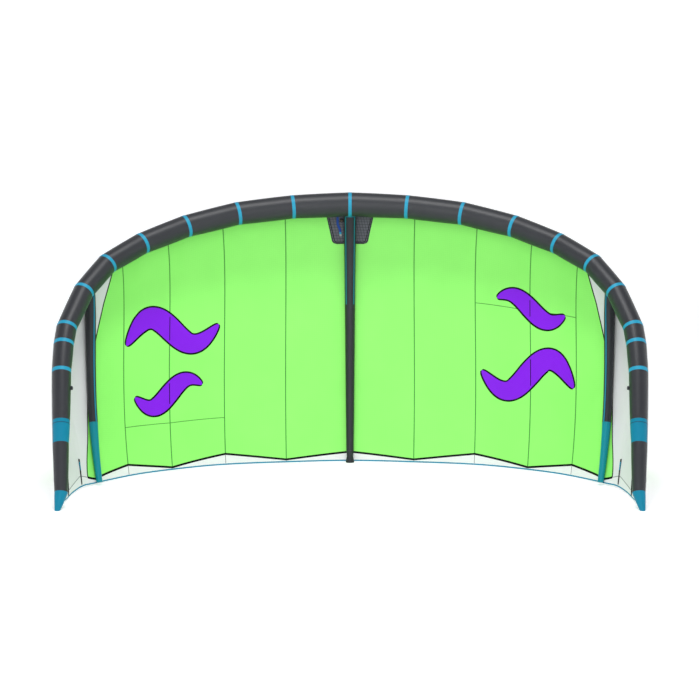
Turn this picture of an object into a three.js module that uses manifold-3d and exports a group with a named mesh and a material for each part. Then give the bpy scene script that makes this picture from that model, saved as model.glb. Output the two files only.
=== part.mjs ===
// Kitesurfing kite with an inflated leading edge and three inflated struts, standing on its
// two wing tips and on the end of its centre strut. Millimetres, +X along the span, +Z up,
// and the hollow side of the kite faces -Y.
// A place on the cloth is given by a ring number, counted along the leading edge from the
// middle, and by a run, which is 0 at the leading edge and 1 at the trailing edge.
import * as THREE from "three";
import { mergeVertices } from "three/addons/utils/BufferGeometryUtils.js";
import Module from "manifold-3d";

const wasm = await Module();
wasm.setup();

// Clearance between pieces that touch, and half of it for each side of a seam
const gap = 0.3;
const seam = gap / 2;

// Vertices closer together than this are one
const closest = 0.03;

// Thickness of each kind of cloth and trim
const canopyThickness = 1.5;
const bandThickness = 2;
const bindingThickness = 2.5;
const patchThickness = 1.5;
const strapThickness = 2.5;
const battenThickness = 4;

// How deep the middle of the kite's box lies in the frame of the tables
const middleBack = -747.8;

// The leading edge: its rings from the middle to the right tip, and the tube's radius there
const leadingEdge = [
  { ring: 0, across: 0, back: 145, up: 1960, radius: 92 },
  { ring: 1, across: 440, back: 110, up: 1942, radius: 89 },
  { ring: 2, across: 857, back: 20, up: 1895, radius: 86.5 },
  { ring: 3, across: 1235, back: -130, up: 1805, radius: 83 },
  { ring: 4, across: 1543, back: -330, up: 1687, radius: 79 },
  { ring: 5, across: 1770, back: -545, up: 1552, radius: 75 },
  { ring: 6, across: 1907, back: -773, up: 1373, radius: 72 },
  { ring: 7, across: 1989, back: -1018, up: 1140, radius: 69 },
  { ring: 8, across: 1996, back: -1107, up: 1032, radius: 68 },
  { ring: 9, across: 1992, back: -1235, up: 858, radius: 65 },
  { ring: 10, across: 1967, back: -1425, up: 546, radius: 59 },
  { ring: 11, across: 1958, back: -1507, up: 404, radius: 54 },
  { ring: 12, across: 1930, back: -1686, up: 106, radius: 45 },
  { ring: 13, across: 1944, back: -1755, up: 0, radius: 19 },
];
const tubeLengths = leadingEdge.length - 1;
const wideBandNumber = 11;
const tubeSides = 20;

// The trailing edge at the end of each seam, strut and batten, and where its binding ends
const trailingEdge = [
  { ring: 0, across: 0, back: -109, up: 2.5 },
  { ring: 1.12, across: 487, back: -169, up: 4 },
  { ring: 2.25, across: 943, back: -264, up: 4 },
  { ring: 3.33, across: 1326, back: -451, up: 4 },
  { ring: 4.43, across: 1618, back: -678, up: 4 },
  { ring: 5.66, across: 1809, back: -954, up: 12 },
  { ring: 9, across: 1889, back: -1115, up: 19 },
  { ring: 11.2, across: 1930, back: -1418, up: 12 },
  { ring: 11.8, across: 1927, back: -1560, up: 22 },
  { ring: 12.4, across: 1926, back: -1688, up: 48 },
];
const seamRings = [0, 1.12, 2.25, 3.33, 4.43];
const strutRing = 5.66;
const lastRing = 12.25;
const bindingEndRing = 12.4;

// The cloth's curve from front to rear: how steeply it leaves each edge, and for how long
const frontAngle = THREE.MathUtils.degToRad(24);
const rearAngle = THREE.MathUtils.degToRad(9);
const frontPull = 0.27;
const rearPull = 0.45;

// Half of the tube's sharpest bend near each ring, which the cloth stands clear of
const tubeBends = [
  { ring: 0, degrees: 8.6 },
  { ring: 3.4, degrees: 8.6 },
  { ring: 4.9, degrees: 13 },
  { ring: 12.4, degrees: 13 },
];

// The pale band along the trailing edge: its zigzag height at each corner
const bandHeights = [
  { ring: 0, height: 72 },
  { ring: 1.12, height: 22 },
  { ring: 2.25, height: 84 },
  { ring: 3.33, height: 19 },
  { ring: 4.43, height: 84 },
  { ring: 5.66, height: 30 },
  { ring: 6.9, height: 54 },
  { ring: 8.8, height: 76 },
  { ring: 10.7, height: 42 },
  { ring: 11.8, height: 27 },
  { ring: 12.25, height: 20 },
];
const bindingWidth = 10;
const bindingGap = 0.7;

// The slanted seam between the outer main panel and the tip panel, from front to rear
const tipSeam = [
  { row: 0, ring: 4.5 },
  { row: 0.26, ring: 4.98 },
  { row: 0.4, ring: 5.26 },
  { row: 0.67, ring: 5.72 },
  { row: 0.82, ring: 5.96 },
  { row: 1, ring: 6.9 },
];

// Lines of the tip panel, each from a ring at the tube to a ring at the pale band
const tipLines = [
  { front: 4.5, rear: 6.9 },
  { front: 5, rear: 7.4 },
  { front: 5.5, rear: 7.8 },
  { front: 6, rear: 8.3 },
  { front: 6.5, rear: 8.8 },
  { front: 7, rear: 9.3 },
  { front: 8, rear: 9.8 },
  { front: 9, rear: 10.3 },
  { front: 10, rear: 10.7 },
  { front: 11, rear: 11.2 },
  { front: 11.45, rear: 11.8 },
  { front: 11.7, rear: 12.25 },
];
const canopyRows = 12;
const mainRingStep = 0.25;
const outerRears = [4.43, 4.85, 5.25, 5.66, 6.1, 6.5, 6.9];

// The room that a piece keeps for itself reaches this far out, and this far past its ends
const roomDepth = 15;
const roomOverlap = 1;

// The struts: radius along their run, where they start, and where the side ones change colour
const centreStrutRadii = [
  { run: 0, radius: 50 },
  { run: 0.85, radius: 32 },
  { run: 0.972, radius: 28 },
];
const sideStrutRadii = [
  { run: 0, radius: 43 },
  { run: 0.25, radius: 39.5 },
  { run: 0.77, radius: 31 },
  { run: 1, radius: 21.5 },
];
const strutStart = 0.02;
const sideStrutSplit = 0.77;
const strutSplitGap = 0.0003;
const strutSides = 18;
const strutSteps = 12;
const strutRearSteps = 4;

// The end of the centre strut: a waist above a flared foot that stands flat on the ground
const footSections = [
  { run: 0.9722, radius: 28 },
  { run: 0.988, radius: 24.5 },
  { run: 0.9975, radius: 30 },
];
const footRadius = 33;
const footBack = -144;

// The grey patch behind the centre strut: half widths and runs of its two ends
const patch = { frontHalf: 190, rearHalf: 131, start: 0.035, end: 0.21, corner: 32, lift: 1.3 };
const patchRows = 4;
const patchCornerRows = 4;
const patchColumns = 4;

// The round valve and the strap on the patch, left of the strut
const valve = { across: -63, run: 0.098, radius: 16, height: 12, sides: 20 };
const strap = [
  { across: -93, run: 0.065 },
  { across: -93, run: 0.114 },
  { across: -76, run: 0.142 },
  { across: -70, run: 0.173 },
];
const strapHalfWidth = 8.5;

// The short battens in each tip, from the cloth to the trailing edge
const battens = [
  { name: "batten", from: [7.9, 0.86], to: [8.95, 0.985], widths: [14, 8], lift: 1.1 },
  { name: "edge_batten", from: [10.3, 0.8], to: [11.15, 0.975], widths: [10, 8], lift: 1.1 },
];
const battenSteps = 4;

// The bridle tab on the hollow side of each tip's tube
const tab = { ring: 9.35, length: 24, width: 14, reach: 16, sink: 4 };

// Colour and sheen of each kind of piece
const finishes = {
  tube: { color: "#45464a", roughness: 0.62 },
  wideBand: { color: "#1f87ae", roughness: 0.6 },
  canopy: { color: "#98ff78", roughness: 0.7 },
  tip: { color: "#d0ddd2", roughness: 0.7 },
  edge: { color: "#eceeed", roughness: 0.7 },
  binding: { color: "#2f8fb4", roughness: 0.65 },
  strut: { color: "#3b3d42", roughness: 0.62 },
  strutRear: { color: "#148a9e", roughness: 0.6 },
  patch: { color: "#55565c", roughness: 0.7 },
  valve: { color: "#26282c", roughness: 0.45 },
  strap: { color: "#1d4f93", roughness: 0.7 },
  batten: { color: "#24282b", roughness: 0.55 },
};

const kite = new THREE.Group();
kite.position.y = -middleBack;

// The second row mirrored across the middle and put first, so that curves pass it evenly
function withMirror(rows) {
  const next = rows[1];
  return [{ ...next, ring: -next.ring, across: -next.across }, ...rows];
}
const tubeRows = withMirror(leadingEdge);
const edgeRows = withMirror(trailingEdge);

function rowBefore(rows, place, at) {
  let i = 0;
  while (i < rows.length - 2 && at >= rows[i + 1][place]) i++;
  return i;
}

// A straight run between the rows of a table
function straight(rows, place, column, at) {
  const i = rowBefore(rows, place, at);
  const t = (at - rows[i][place]) / (rows[i + 1][place] - rows[i][place]);
  return THREE.MathUtils.lerp(rows[i][column], rows[i + 1][column], t);
}

// A smooth curve through one column of a table, which never swings past its rows
function smooth(rows, place, column, at) {
  const width = (i) => rows[i + 1][place] - rows[i][place];
  const rise = (i) => (rows[i + 1][column] - rows[i][column]) / width(i);
  const slope = (i) => {
    if (i === 0) return rise(0);
    if (i === rows.length - 1) return rise(i - 1);
    if (rise(i - 1) * rise(i) <= 0) return 0;
    const before = 2 * width(i) + width(i - 1);
    const after = width(i) + 2 * width(i - 1);
    return (before + after) / (before / rise(i - 1) + after / rise(i));
  };
  const i = rowBefore(rows, place, at);
  const t = (at - rows[i][place]) / width(i);
  const level = THREE.MathUtils.lerp(rows[i][column], rows[i + 1][column], t * t * (3 - 2 * t));
  return level + width(i) * t * (1 - t) * ((1 - t) * slope(i) - t * slope(i + 1));
}

const axes = ["across", "back", "up"];
const vectorOf = (column) => new THREE.Vector3(...axes.map(column));
const curvePoint = (rows, ring) => vectorOf((axis) => smooth(rows, "ring", axis, ring));
const tubePoint = (ring) => vectorOf((axis) => straight(leadingEdge, "ring", axis, ring));
const tubeRadius = (ring) => straight(leadingEdge, "ring", "radius", ring);
const chord = (ring) => curvePoint(tubeRows, ring).distanceTo(curvePoint(edgeRows, ring));
const smallStep = 0.001;

function heading(rows, ring) {
  return curvePoint(rows, ring + smallStep).sub(curvePoint(rows, ring - smallStep)).normalize();
}

// The four guide points of the cloth's curve at a ring of the right half
function guides(ring) {
  const front = curvePoint(tubeRows, ring);
  const rear = curvePoint(edgeRows, ring);
  const size = rear.distanceTo(front);
  const chordwise = rear.clone().sub(front).divideScalar(size);
  const along = heading(tubeRows, ring);
  const outFront = along.clone().cross(chordwise).normalize();
  const outRear = heading(edgeRows, ring).cross(chordwise).normalize();
  const rearward = chordwise.clone().addScaledVector(along, -chordwise.dot(along)).normalize();
  const bend = THREE.MathUtils.degToRad(straight(tubeBends, "ring", "degrees", ring));
  const reach = (tubeRadius(ring) + gap) / Math.cos(bend);
  const start = front
    .clone()
    .addScaledVector(outFront, reach * Math.cos(frontAngle))
    .addScaledVector(rearward, -reach * Math.sin(frontAngle));
  const second = start
    .clone()
    .addScaledVector(rearward, frontPull * size * Math.cos(frontAngle))
    .addScaledVector(outFront, frontPull * size * Math.sin(frontAngle));
  const third = rear
    .clone()
    .addScaledVector(chordwise, -rearPull * size * Math.cos(rearAngle))
    .addScaledVector(outRear, rearPull * size * Math.sin(rearAngle));
  return [start, second, third, rear];
}

// The inner face of the cloth: straight between rings at the tube, and smooth further back
function clothPoint(ring, run) {
  const side = Math.abs(ring);
  const rest = 1 - run;
  const weights = [rest ** 3, 3 * rest * rest * run, 3 * rest * run * run, run ** 3];
  const point = new THREE.Vector3();
  guides(side).forEach((guide, i) => point.addScaledVector(guide, weights[i]));
  point.addScaledVector(tubePoint(side).sub(curvePoint(tubeRows, side)), rest ** 3);
  if (ring < 0) point.x = -point.x;
  return point;
}

function clothNormal(ring, run) {
  const spanwise = clothPoint(ring + smallStep, run).sub(clothPoint(ring - smallStep, run));
  const rearward = clothPoint(ring, run + smallStep).sub(clothPoint(ring, run - smallStep));
  return spanwise.cross(rearward).normalize();
}

// A point at a depth from the inner face, where a positive depth lies outside the kite
const onCloth = (ring, run, depth) => clothPoint(ring, run).addScaledVector(clothNormal(ring, run), depth);

// Millimetres along the span for each ring at a place on the cloth
function spanRate(ring, run) {
  return clothPoint(ring + smallStep, run).distanceTo(clothPoint(ring, run)) / smallStep;
}
const runFromEdge = (ring, height) => 1 - height / (3 * rearPull * chord(ring));
const bandRun = (ring, shift) => runFromEdge(ring, straight(bandHeights, "ring", "height", ring) + shift);

// Merged vertices, no collapsed faces and outward faces make one closed solid
function closed(geometry) {
  geometry.deleteAttribute("normal");
  geometry.deleteAttribute("uv");
  const merged = mergeVertices(geometry, closest);
  const place = merged.getAttribute("position");
  const all = merged.getIndex().array;
  const wide = [];
  for (let i = 0; i < all.length; i += 3) {
    const face = [...all.slice(i, i + 3)];
    if (new Set(face).size === 3) wide.push(...face);
  }
  merged.setIndex(wide);
  const index = merged.getIndex();
  const corner = (i) => new THREE.Vector3().fromBufferAttribute(place, index.getX(i));
  let volume = 0;
  for (let i = 0; i < index.count; i += 3) {
    volume += corner(i).dot(corner(i + 1).cross(corner(i + 2)));
  }
  for (let i = 0; volume < 0 && i < index.count; i += 3) {
    const kept = index.getX(i);
    index.setX(i, index.getX(i + 1));
    index.setX(i + 1, kept);
  }
  return merged;
}

// A box of many cells whose two wide faces are split along the same diagonals, so that a
// twisted sheet keeps its thickness
function sheetBox(width, columns, rows) {
  const box = new THREE.BoxGeometry(width, 1, 1, columns, rows);
  const index = box.getIndex().array;
  const { start, count } = box.groups[box.groups.length - 1];
  const cell = 6;
  for (let i = start; i < start + count; i += cell) {
    const [a, b, d, , c] = index.slice(i, i + cell);
    index.set([a, b, c, a, c, d], i);
  }
  return box;
}

// Moves each vertex of a plain box or cylinder to its place
function shaped(geometry, move) {
  const place = geometry.getAttribute("position");
  for (let i = 0; i < place.count; i++) {
    place.setXYZ(i, ...move(place.getX(i), place.getY(i), place.getZ(i)).toArray());
  }
  return closed(geometry);
}

function solid(geometry) {
  const vertProperties = new Float32Array(geometry.getAttribute("position").array);
  const triVerts = new Uint32Array(geometry.getIndex().array);
  return new wasm.Manifold(new wasm.Mesh({ numProp: 3, vertProperties, triVerts }));
}

// What is left of a piece outside the solids that it is fitted against
function fitted(geometry, others) {
  const made = others.reduce((rest, other) => rest.subtract(solid(other)), solid(geometry)).getMesh();
  const left = new THREE.BufferGeometry();
  left.setAttribute("position", new THREE.BufferAttribute(made.vertProperties, 3));
  left.setIndex(new THREE.BufferAttribute(made.triVerts, 1));
  return closed(left);
}

const mirrored = (geometry) => closed(geometry.clone().scale(-1, 1, 1));

function add(name, geometry, finish) {
  const material = new THREE.MeshStandardMaterial({ ...finishes[finish], metalness: 0 });
  const mesh = new THREE.Mesh(geometry, material);
  mesh.name = name;
  kite.add(mesh);
}

// A piece for the right half and its mirror image for the left
function addPair(name, number, geometry, finish) {
  add(`${name}_right${number}`, geometry, finish);
  add(`${name}_left${number}`, mirrored(geometry), finish);
}

// A tube through stations, each with a centre, two directions across it, a radius and,
// where its end is slanted, the direction that the end faces
function tube(stations, sides) {
  const last = stations.length - 1;
  return shaped(new THREE.CylinderGeometry(1, 1, 1, sides, last), (x, y, z) => {
    const { centre, side, out, radius, facing } = stations[Math.round((0.5 - y) * last)];
    const axis = side.clone().cross(out);
    const spoke = side.clone().multiplyScalar(x * radius).addScaledVector(out, z * radius);
    const slide = facing ? -spoke.dot(facing) / axis.dot(facing) : 0;
    return centre.clone().add(spoke).addScaledVector(axis, slide);
  });
}

// The leading edge is sewn from straight lengths, mitred where they meet at a ring
const lengthHeadings = Array.from({ length: tubeLengths }, (_, i) => {
  return tubePoint(i + 1).sub(tubePoint(i)).normalize();
});
const lengthOuts = [new THREE.Vector3(0, 0, 1).cross(lengthHeadings[0]).normalize()];
for (let i = 1; i < tubeLengths; i++) {
  const turn = new THREE.Quaternion().setFromUnitVectors(lengthHeadings[i - 1], lengthHeadings[i]);
  lengthOuts.push(lengthOuts[i - 1].clone().applyQuaternion(turn));
}
const acrossMiddle = lengthHeadings[0].clone().multiply(new THREE.Vector3(1, -1, -1));
const down = new THREE.Vector3(0, 0, -1);

function tubeLength(i, growth, pullBack) {
  const along = lengthHeadings[i];
  const out = lengthOuts[i];
  const side = out.clone().cross(along);
  const before = i === 0 ? acrossMiddle : lengthHeadings[i - 1];
  const isCap = i === tubeLengths - 1;
  const start = {
    centre: tubePoint(i).addScaledVector(along, pullBack),
    radius: leadingEdge[i].radius + growth,
    facing: before.clone().add(along),
  };
  const end = {
    centre: tubePoint(i + 1).addScaledVector(along, isCap ? 0 : -pullBack),
    radius: leadingEdge[i + 1].radius + growth,
    facing: isCap ? down : along.clone().add(lengthHeadings[i + 1]),
  };
  return tube([start, end].map((station) => ({ side, out, ...station })), tubeSides);
}

// The room that each length takes up, with the clearance around it
const tubeRoom = Array.from({ length: tubeLengths }, (_, i) => tubeLength(i, gap, -roomOverlap));
const tubeBetween = (from, to) => tubeRoom.slice(Math.floor(from), Math.ceil(to));

for (let i = 0; i < tubeLengths; i++) {
  const isBand = i + 1 === wideBandNumber || i === tubeLengths - 1;
  const number = String(i + 1).padStart(2, "0");
  addPair("leading_edge", `_${number}`, tubeLength(i, 0, seam), isBand ? "wideBand" : "tube");
}

// Straight lines for a sheet: one at each of its ends and at each listed ring between them
function linesBetween(from, to, rings) {
  const between = rings.filter((ring) => ring > from && ring < to).sort((a, b) => a - b);
  return [...new Set([from, ...between, to])].map((ring) => ({ front: ring, rear: ring }));
}

// How far a slanted line has moved over from its front ring to its rear ring
function slant(row) {
  const [from, to] = [tipSeam[0].ring, tipSeam[tipSeam.length - 1].ring];
  return (smooth(tipSeam, "row", "ring", row) - from) / (to - from);
}

// A sheet through lines from front to rear, between two runs and two depths; its first and
// last lines are drawn in by half a seam's gap
function sheet(lines, rows, runs, depths, drawIn) {
  const last = lines.length - 1;
  return shaped(sheetBox(1, last, rows), (x, y, z) => {
    const i = Math.round((x + 0.5) * last);
    const row = 0.5 - y;
    const line = lines[i];
    const ring = THREE.MathUtils.lerp(line.front, line.rear, slant(row));
    const run = THREE.MathUtils.lerp(runs.from(ring), runs.to(ring), row);
    const inward = i === 0 ? drawIn : i === last ? -drawIn : 0;
    return onCloth(ring + inward / spanRate(ring, run), run, z > 0 ? depths.inner : depths.outer);
  });
}

const mainRuns = { from: () => 0, to: (ring) => bandRun(ring, seam) };
const bandRuns = {
  from: (ring) => bandRun(ring, -seam),
  to: (ring) => runFromEdge(ring, bindingWidth + bindingGap),
};
const canopyDepths = { inner: 0, outer: canopyThickness };
const bandDepths = { inner: 0, outer: bandThickness };

// The main panels between the seams, then the outer one, which widens towards the rear
const outerSeam = seamRings[seamRings.length - 1];
const evenRings = Array.from({ length: Math.ceil(outerSeam / mainRingStep) }, (_, i) => i * mainRingStep);
const mainLines = seamRings.slice(1).map((to, i) => linesBetween(seamRings[i], to, evenRings));
const outerNarrowing = (tipLines[0].front - outerSeam) / (tipLines[0].rear - outerSeam);
mainLines.push(outerRears.map((rear) => ({ front: outerSeam + (rear - outerSeam) * outerNarrowing, rear })));
mainLines.forEach((lines, i) => {
  const panel = sheet(lines, canopyRows, mainRuns, canopyDepths, seam);
  addPair("canopy", `_${i + 1}`, fitted(panel, tubeBetween(0, strutRing)), "canopy");
});
const tipPanel = sheet(tipLines, canopyRows, mainRuns, canopyDepths, seam);
addPair("tip_panel", "", fitted(tipPanel, tubeBetween(outerSeam, tubeLengths)), "tip");

// The pale bands behind them, from the middle to the side strut and on to the tip
const rearRings = [...mainLines.flat(), ...tipLines].map((line) => line.rear);
const rearBandLines = linesBetween(0, strutRing, rearRings);
const tipBandLines = linesBetween(strutRing, lastRing, rearRings);
addPair("rear_band", "", sheet(rearBandLines, 1, bandRuns, bandDepths, seam), "edge");
const tipBand = sheet(tipBandLines, 1, bandRuns, bandDepths, seam);
const tubeEnd = tubeBetween(lastRing - 1, tubeLengths);
addPair("tip_band", "", fitted(tipBand, tubeEnd), "edge");

// The narrow binding along the trailing edge, which ends on the cap of the tip's tube
const bindingLines = linesBetween(0, bindingEndRing, rearRings);
function binding(depths, drawIn) {
  const last = bindingLines.length - 1;
  return shaped(sheetBox(1, last, 1), (x, y, z) => {
    const i = Math.round((x + 0.5) * last);
    const ring = bindingLines[i].rear;
    const [, , third, rear] = guides(ring);
    const forward = third.clone().sub(rear).normalize();
    const out = forward.clone().cross(heading(edgeRows, ring)).normalize();
    const point = rear
      .addScaledVector(forward, (y + 0.5) * bindingWidth)
      .addScaledVector(out, z > 0 ? depths.inner : depths.outer);
    if (i === 0) point.x = drawIn;
    return point;
  });
}
const bindingDepths = { inner: 0, outer: bindingThickness };
addPair("rear_binding", "", fitted(binding(bindingDepths, seam), tubeEnd), "binding");

// The room that the cloth takes up on the right, for what is sewn to its inner face
const bandRoomRuns = { from: (ring) => bandRun(ring, roomOverlap), to: () => 1 };
const roomDepths = { inner: -gap, outer: roomDepth };
const panelRoom = [...mainLines, tipLines].map((lines) => {
  return sheet(lines, canopyRows, mainRuns, roomDepths, -roomOverlap);
});
const [rearBandRoom, tipBandRoom] = [rearBandLines, tipBandLines].map((lines) => {
  return sheet(lines, 1, bandRoomRuns, roomDepths, -roomOverlap);
});
const bindingRoom = binding(roomDepths, -roomOverlap);
const middleRoom = [tubeRoom[0], panelRoom[0], rearBandRoom, bindingRoom];
const tipRoom = [panelRoom.at(-1), rearBandRoom, tipBandRoom, bindingRoom];
const bothSides = (geometries) => [...geometries, ...geometries.map(mirrored)];

// The patch on the inner face of the cloth, with rounded corners towards the rear
const patchRun = patch.end - patch.start;
function patchSheet(growth, outerDepth) {
  const columns = 2 * patchColumns;
  const rows = patchRows + patchCornerRows;
  const corner = patch.corner / patchRun / chord(0);
  return shaped(sheetBox(2, columns, rows), (x, y, z) => {
    const row = Math.round((0.5 - y) * rows);
    const turn = (Math.max(row - patchRows, 0) / patchCornerRows) * (Math.PI / 2);
    const along = Math.min(row / patchRows, 1) * (1 - corner) + corner * Math.sin(turn);
    const halfWidth = THREE.MathUtils.lerp(patch.frontHalf, patch.rearHalf, along);
    const inset = patch.corner * (1 - Math.cos(turn));
    const ring = (x * (halfWidth - inset + growth)) / leadingEdge[1].across;
    const run = patch.start + along * patchRun + (row === rows ? growth : 0) / chord(0);
    return onCloth(ring, run, z > 0 ? -patch.lift - patchThickness - growth : outerDepth);
  });
}
add("centre_patch", fitted(patchSheet(0, -patch.lift), bothSides(middleRoom)), "patch");
const patchRoom = patchSheet(gap, roomDepth);

// The struts lie along the inner face of the cloth, each round all the way
function strutPiece(ring, radii, from, to, steps, room) {
  const stations = Array.from({ length: steps + 1 }, (_, i) => {
    const run = THREE.MathUtils.lerp(from, to, i / steps);
    const radius = straight(radii, "run", "radius", run);
    const out = clothNormal(ring, run);
    const ahead = clothPoint(ring, run - smallStep).sub(clothPoint(ring, run + smallStep)).normalize();
    const side = out.clone().cross(ahead);
    return { centre: onCloth(ring, run, -radius - gap), side, out, radius };
  });
  return fitted(tube(stations, strutSides), room);
}

const centreEnd = centreStrutRadii[centreStrutRadii.length - 1].run;
const centreRoom = bothSides([...middleRoom, panelRoom[1]]);
const besidePatch = [...centreRoom, patchRoom];
const centreStrut = strutPiece(0, centreStrutRadii, strutStart, centreEnd, strutSteps, besidePatch);
add("strut_centre", centreStrut, "strut");

const sideRoom = [...tubeBetween(outerSeam, strutRing + 1), panelRoom.at(-2), ...tipRoom];
const sideEnd = sideStrutRadii[sideStrutRadii.length - 1].run;
const frontStrut = strutPiece(strutRing, sideStrutRadii, strutStart, sideStrutSplit, strutSteps, sideRoom);
const splitEnd = sideStrutSplit + strutSplitGap;
const rearStrut = strutPiece(strutRing, sideStrutRadii, splitEnd, sideEnd, strutRearSteps, sideRoom);
addPair("strut", "_front", frontStrut, "strut");
addPair("strut", "_rear", rearStrut, "strutRear");

// The flared end of the centre strut stands flat on the ground
const footStations = footSections.map(({ run, radius }) => {
  const out = clothNormal(0, run);
  const ahead = clothPoint(0, run - smallStep).sub(clothPoint(0, run + smallStep)).normalize();
  return { centre: onCloth(0, run, -radius - gap), side: out.clone().cross(ahead), out, radius };
});
const footGround = {
  centre: new THREE.Vector3(0, footBack, 0),
  side: footStations[0].side,
  out: new THREE.Vector3(0, 1, 0),
  radius: footRadius,
};
add("strut_centre_end", fitted(tube([...footStations, footGround], strutSides), centreRoom), "strut");

// The valve and the strap lie on the patch
const patchFace = -patch.lift - patchThickness - gap;
const valveRing = valve.across / leadingEdge[1].across;
const valveTurn = new THREE.Quaternion().setFromUnitVectors(
  new THREE.Vector3(0, 1, 0),
  clothNormal(valveRing, valve.run),
);
const valveCentre = onCloth(valveRing, valve.run, patchFace - valve.height / 2);
const valveBody = shaped(
  new THREE.CylinderGeometry(valve.radius, valve.radius, valve.height, valve.sides),
  (x, y, z) => new THREE.Vector3(x, y, z).applyQuaternion(valveTurn).add(valveCentre),
);
add("inflation_valve", fitted(valveBody, [patchRoom]), "valve");

const strapBody = shaped(new THREE.BoxGeometry(1, 1, 1, 1, strap.length - 1), (x, y, z) => {
  const { across, run } = strap[Math.round((0.5 - y) * (strap.length - 1))];
  const ring = (across + 2 * x * strapHalfWidth) / leadingEdge[1].across;
  return onCloth(ring, run, patchFace - (z + 0.5) * strapThickness);
});
add("valve_strap", fitted(strapBody, [patchRoom, ...bothSides(middleRoom)]), "strap");

// The battens in each tip
for (const { name, from, to, widths, lift } of battens) {
  const [start, end] = [from, to].map(([ring, run]) => clothPoint(ring, run));
  const spanwise = end.clone().sub(start).cross(clothNormal(...from)).normalize();
  const body = shaped(new THREE.BoxGeometry(1, 1, 1, 1, battenSteps), (x, y, z) => {
    const t = 0.5 - y;
    const ring = THREE.MathUtils.lerp(from[0], to[0], t);
    const run = THREE.MathUtils.lerp(from[1], to[1], t);
    const halfWidth = THREE.MathUtils.lerp(...widths, t) / 2;
    const middle = onCloth(ring, run, -lift - (z + 0.5) * battenThickness);
    return middle.addScaledVector(spanwise, 2 * x * halfWidth);
  });
  addPair(name, "", fitted(body, [...tubeBetween(from[0], tubeLengths), ...tipRoom]), "batten");
}

// The bridle tabs face the middle of the kite
const tabIndex = Math.floor(tab.ring);
const tabAlong = lengthHeadings[tabIndex];
const tabOut = new THREE.Vector3(-1, 0, 0).addScaledVector(tabAlong, tabAlong.x).normalize();
const tabSide = tabOut.clone().cross(tabAlong);
const tabCentre = tubePoint(tab.ring).addScaledVector(tabOut, tubeRadius(tab.ring) - tab.sink);
const tabBody = shaped(new THREE.BoxGeometry(1, 1, 1), (x, y, z) =>
  tabCentre
    .clone()
    .addScaledVector(tabSide, x * tab.width)
    .addScaledVector(tabAlong, y * tab.length)
    .addScaledVector(tabOut, (z + 0.5) * (tab.reach + tab.sink)),
);
addPair("bridle_tab", "", fitted(tabBody, [tubeRoom[tabIndex]]), "strap");

export default kite;
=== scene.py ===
"""Dressed model of an inflatable kitesurfing kite, standing on its wing tips and its centre strut.

A place on the cloth is given by a ring number, counted along the leading edge from the middle
(positive to the right, as the hollow side is seen), and by a run, 0 at the leading edge and 1 at
the trailing edge. Tables are in millimetres, and everything that Blender gets is in metres.
"""
import logging
import math
from dataclasses import dataclass, field, replace
from enum import Enum
from typing import NamedTuple, Sequence

import bpy
import numpy as np
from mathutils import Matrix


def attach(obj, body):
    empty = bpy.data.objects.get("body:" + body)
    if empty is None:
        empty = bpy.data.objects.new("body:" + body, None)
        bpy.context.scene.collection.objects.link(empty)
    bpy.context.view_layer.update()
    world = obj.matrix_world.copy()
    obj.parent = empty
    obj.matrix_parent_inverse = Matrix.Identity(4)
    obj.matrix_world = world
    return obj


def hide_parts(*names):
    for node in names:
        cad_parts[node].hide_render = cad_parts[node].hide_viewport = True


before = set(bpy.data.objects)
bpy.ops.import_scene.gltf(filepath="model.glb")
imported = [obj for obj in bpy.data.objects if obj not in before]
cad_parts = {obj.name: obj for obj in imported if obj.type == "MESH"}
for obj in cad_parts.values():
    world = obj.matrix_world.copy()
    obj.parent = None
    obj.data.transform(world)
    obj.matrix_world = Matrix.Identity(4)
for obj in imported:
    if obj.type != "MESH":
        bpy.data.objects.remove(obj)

log = logging.getLogger("kite")

Points = np.ndarray
MILLIMETRE = 0.001
BODY = "root"
AXES = ("across", "back", "up")


class TubeRow(NamedTuple):
    """A ring of the leading edge: its number, its centre and the tube's radius there."""

    ring: float
    across: float
    back: float
    up: float
    radius: float


class EdgeRow(NamedTuple):
    """A point of the trailing edge."""

    ring: float
    across: float
    back: float
    up: float


LEADING_EDGE = (
    TubeRow(0, 0, 145, 1960, 92),
    TubeRow(1, 440, 110, 1942, 89),
    TubeRow(2, 857, 20, 1895, 86.5),
    TubeRow(3, 1235, -130, 1805, 83),
    TubeRow(4, 1543, -330, 1687, 79),
    TubeRow(5, 1770, -545, 1552, 75),
    TubeRow(6, 1907, -773, 1373, 72),
    TubeRow(7, 1989, -1018, 1140, 69),
    TubeRow(8, 1996, -1107, 1032, 68),
    TubeRow(9, 1992, -1235, 858, 65),
    TubeRow(10, 1967, -1425, 546, 59),
    TubeRow(11, 1958, -1507, 404, 54),
    TubeRow(12, 1930, -1686, 106, 45),
    TubeRow(13, 1944, -1755, 0, 19),
)
TRAILING_EDGE = (
    EdgeRow(0, 0, -109, 2.5),
    EdgeRow(1.12, 487, -169, 4),
    EdgeRow(2.25, 943, -264, 4),
    EdgeRow(3.33, 1326, -451, 4),
    EdgeRow(4.43, 1618, -678, 4),
    EdgeRow(5.66, 1809, -954, 12),
    EdgeRow(9, 1889, -1115, 19),
    EdgeRow(11.2, 1930, -1418, 12),
    EdgeRow(11.8, 1927, -1560, 22),
    EdgeRow(12.4, 1926, -1688, 48),
)
MIDDLE_BACK = -747.8
SEAM_RINGS = (0.0, 1.12, 2.25, 3.33, 4.43)
STRUT_RING = 5.66

# The thickness in millimetres of one layer of panel cloth, and of the band along the trailing edge
PANEL_THICKNESS = 1.2
BAND_THICKNESS = 1.7

# Half of the tube's sharpest bend near each ring, which the cloth stands clear of
BEND_RINGS = (0, 3.4, 4.9, 12.4)
BEND_DEGREES = (8.6, 8.6, 13, 13)

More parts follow.
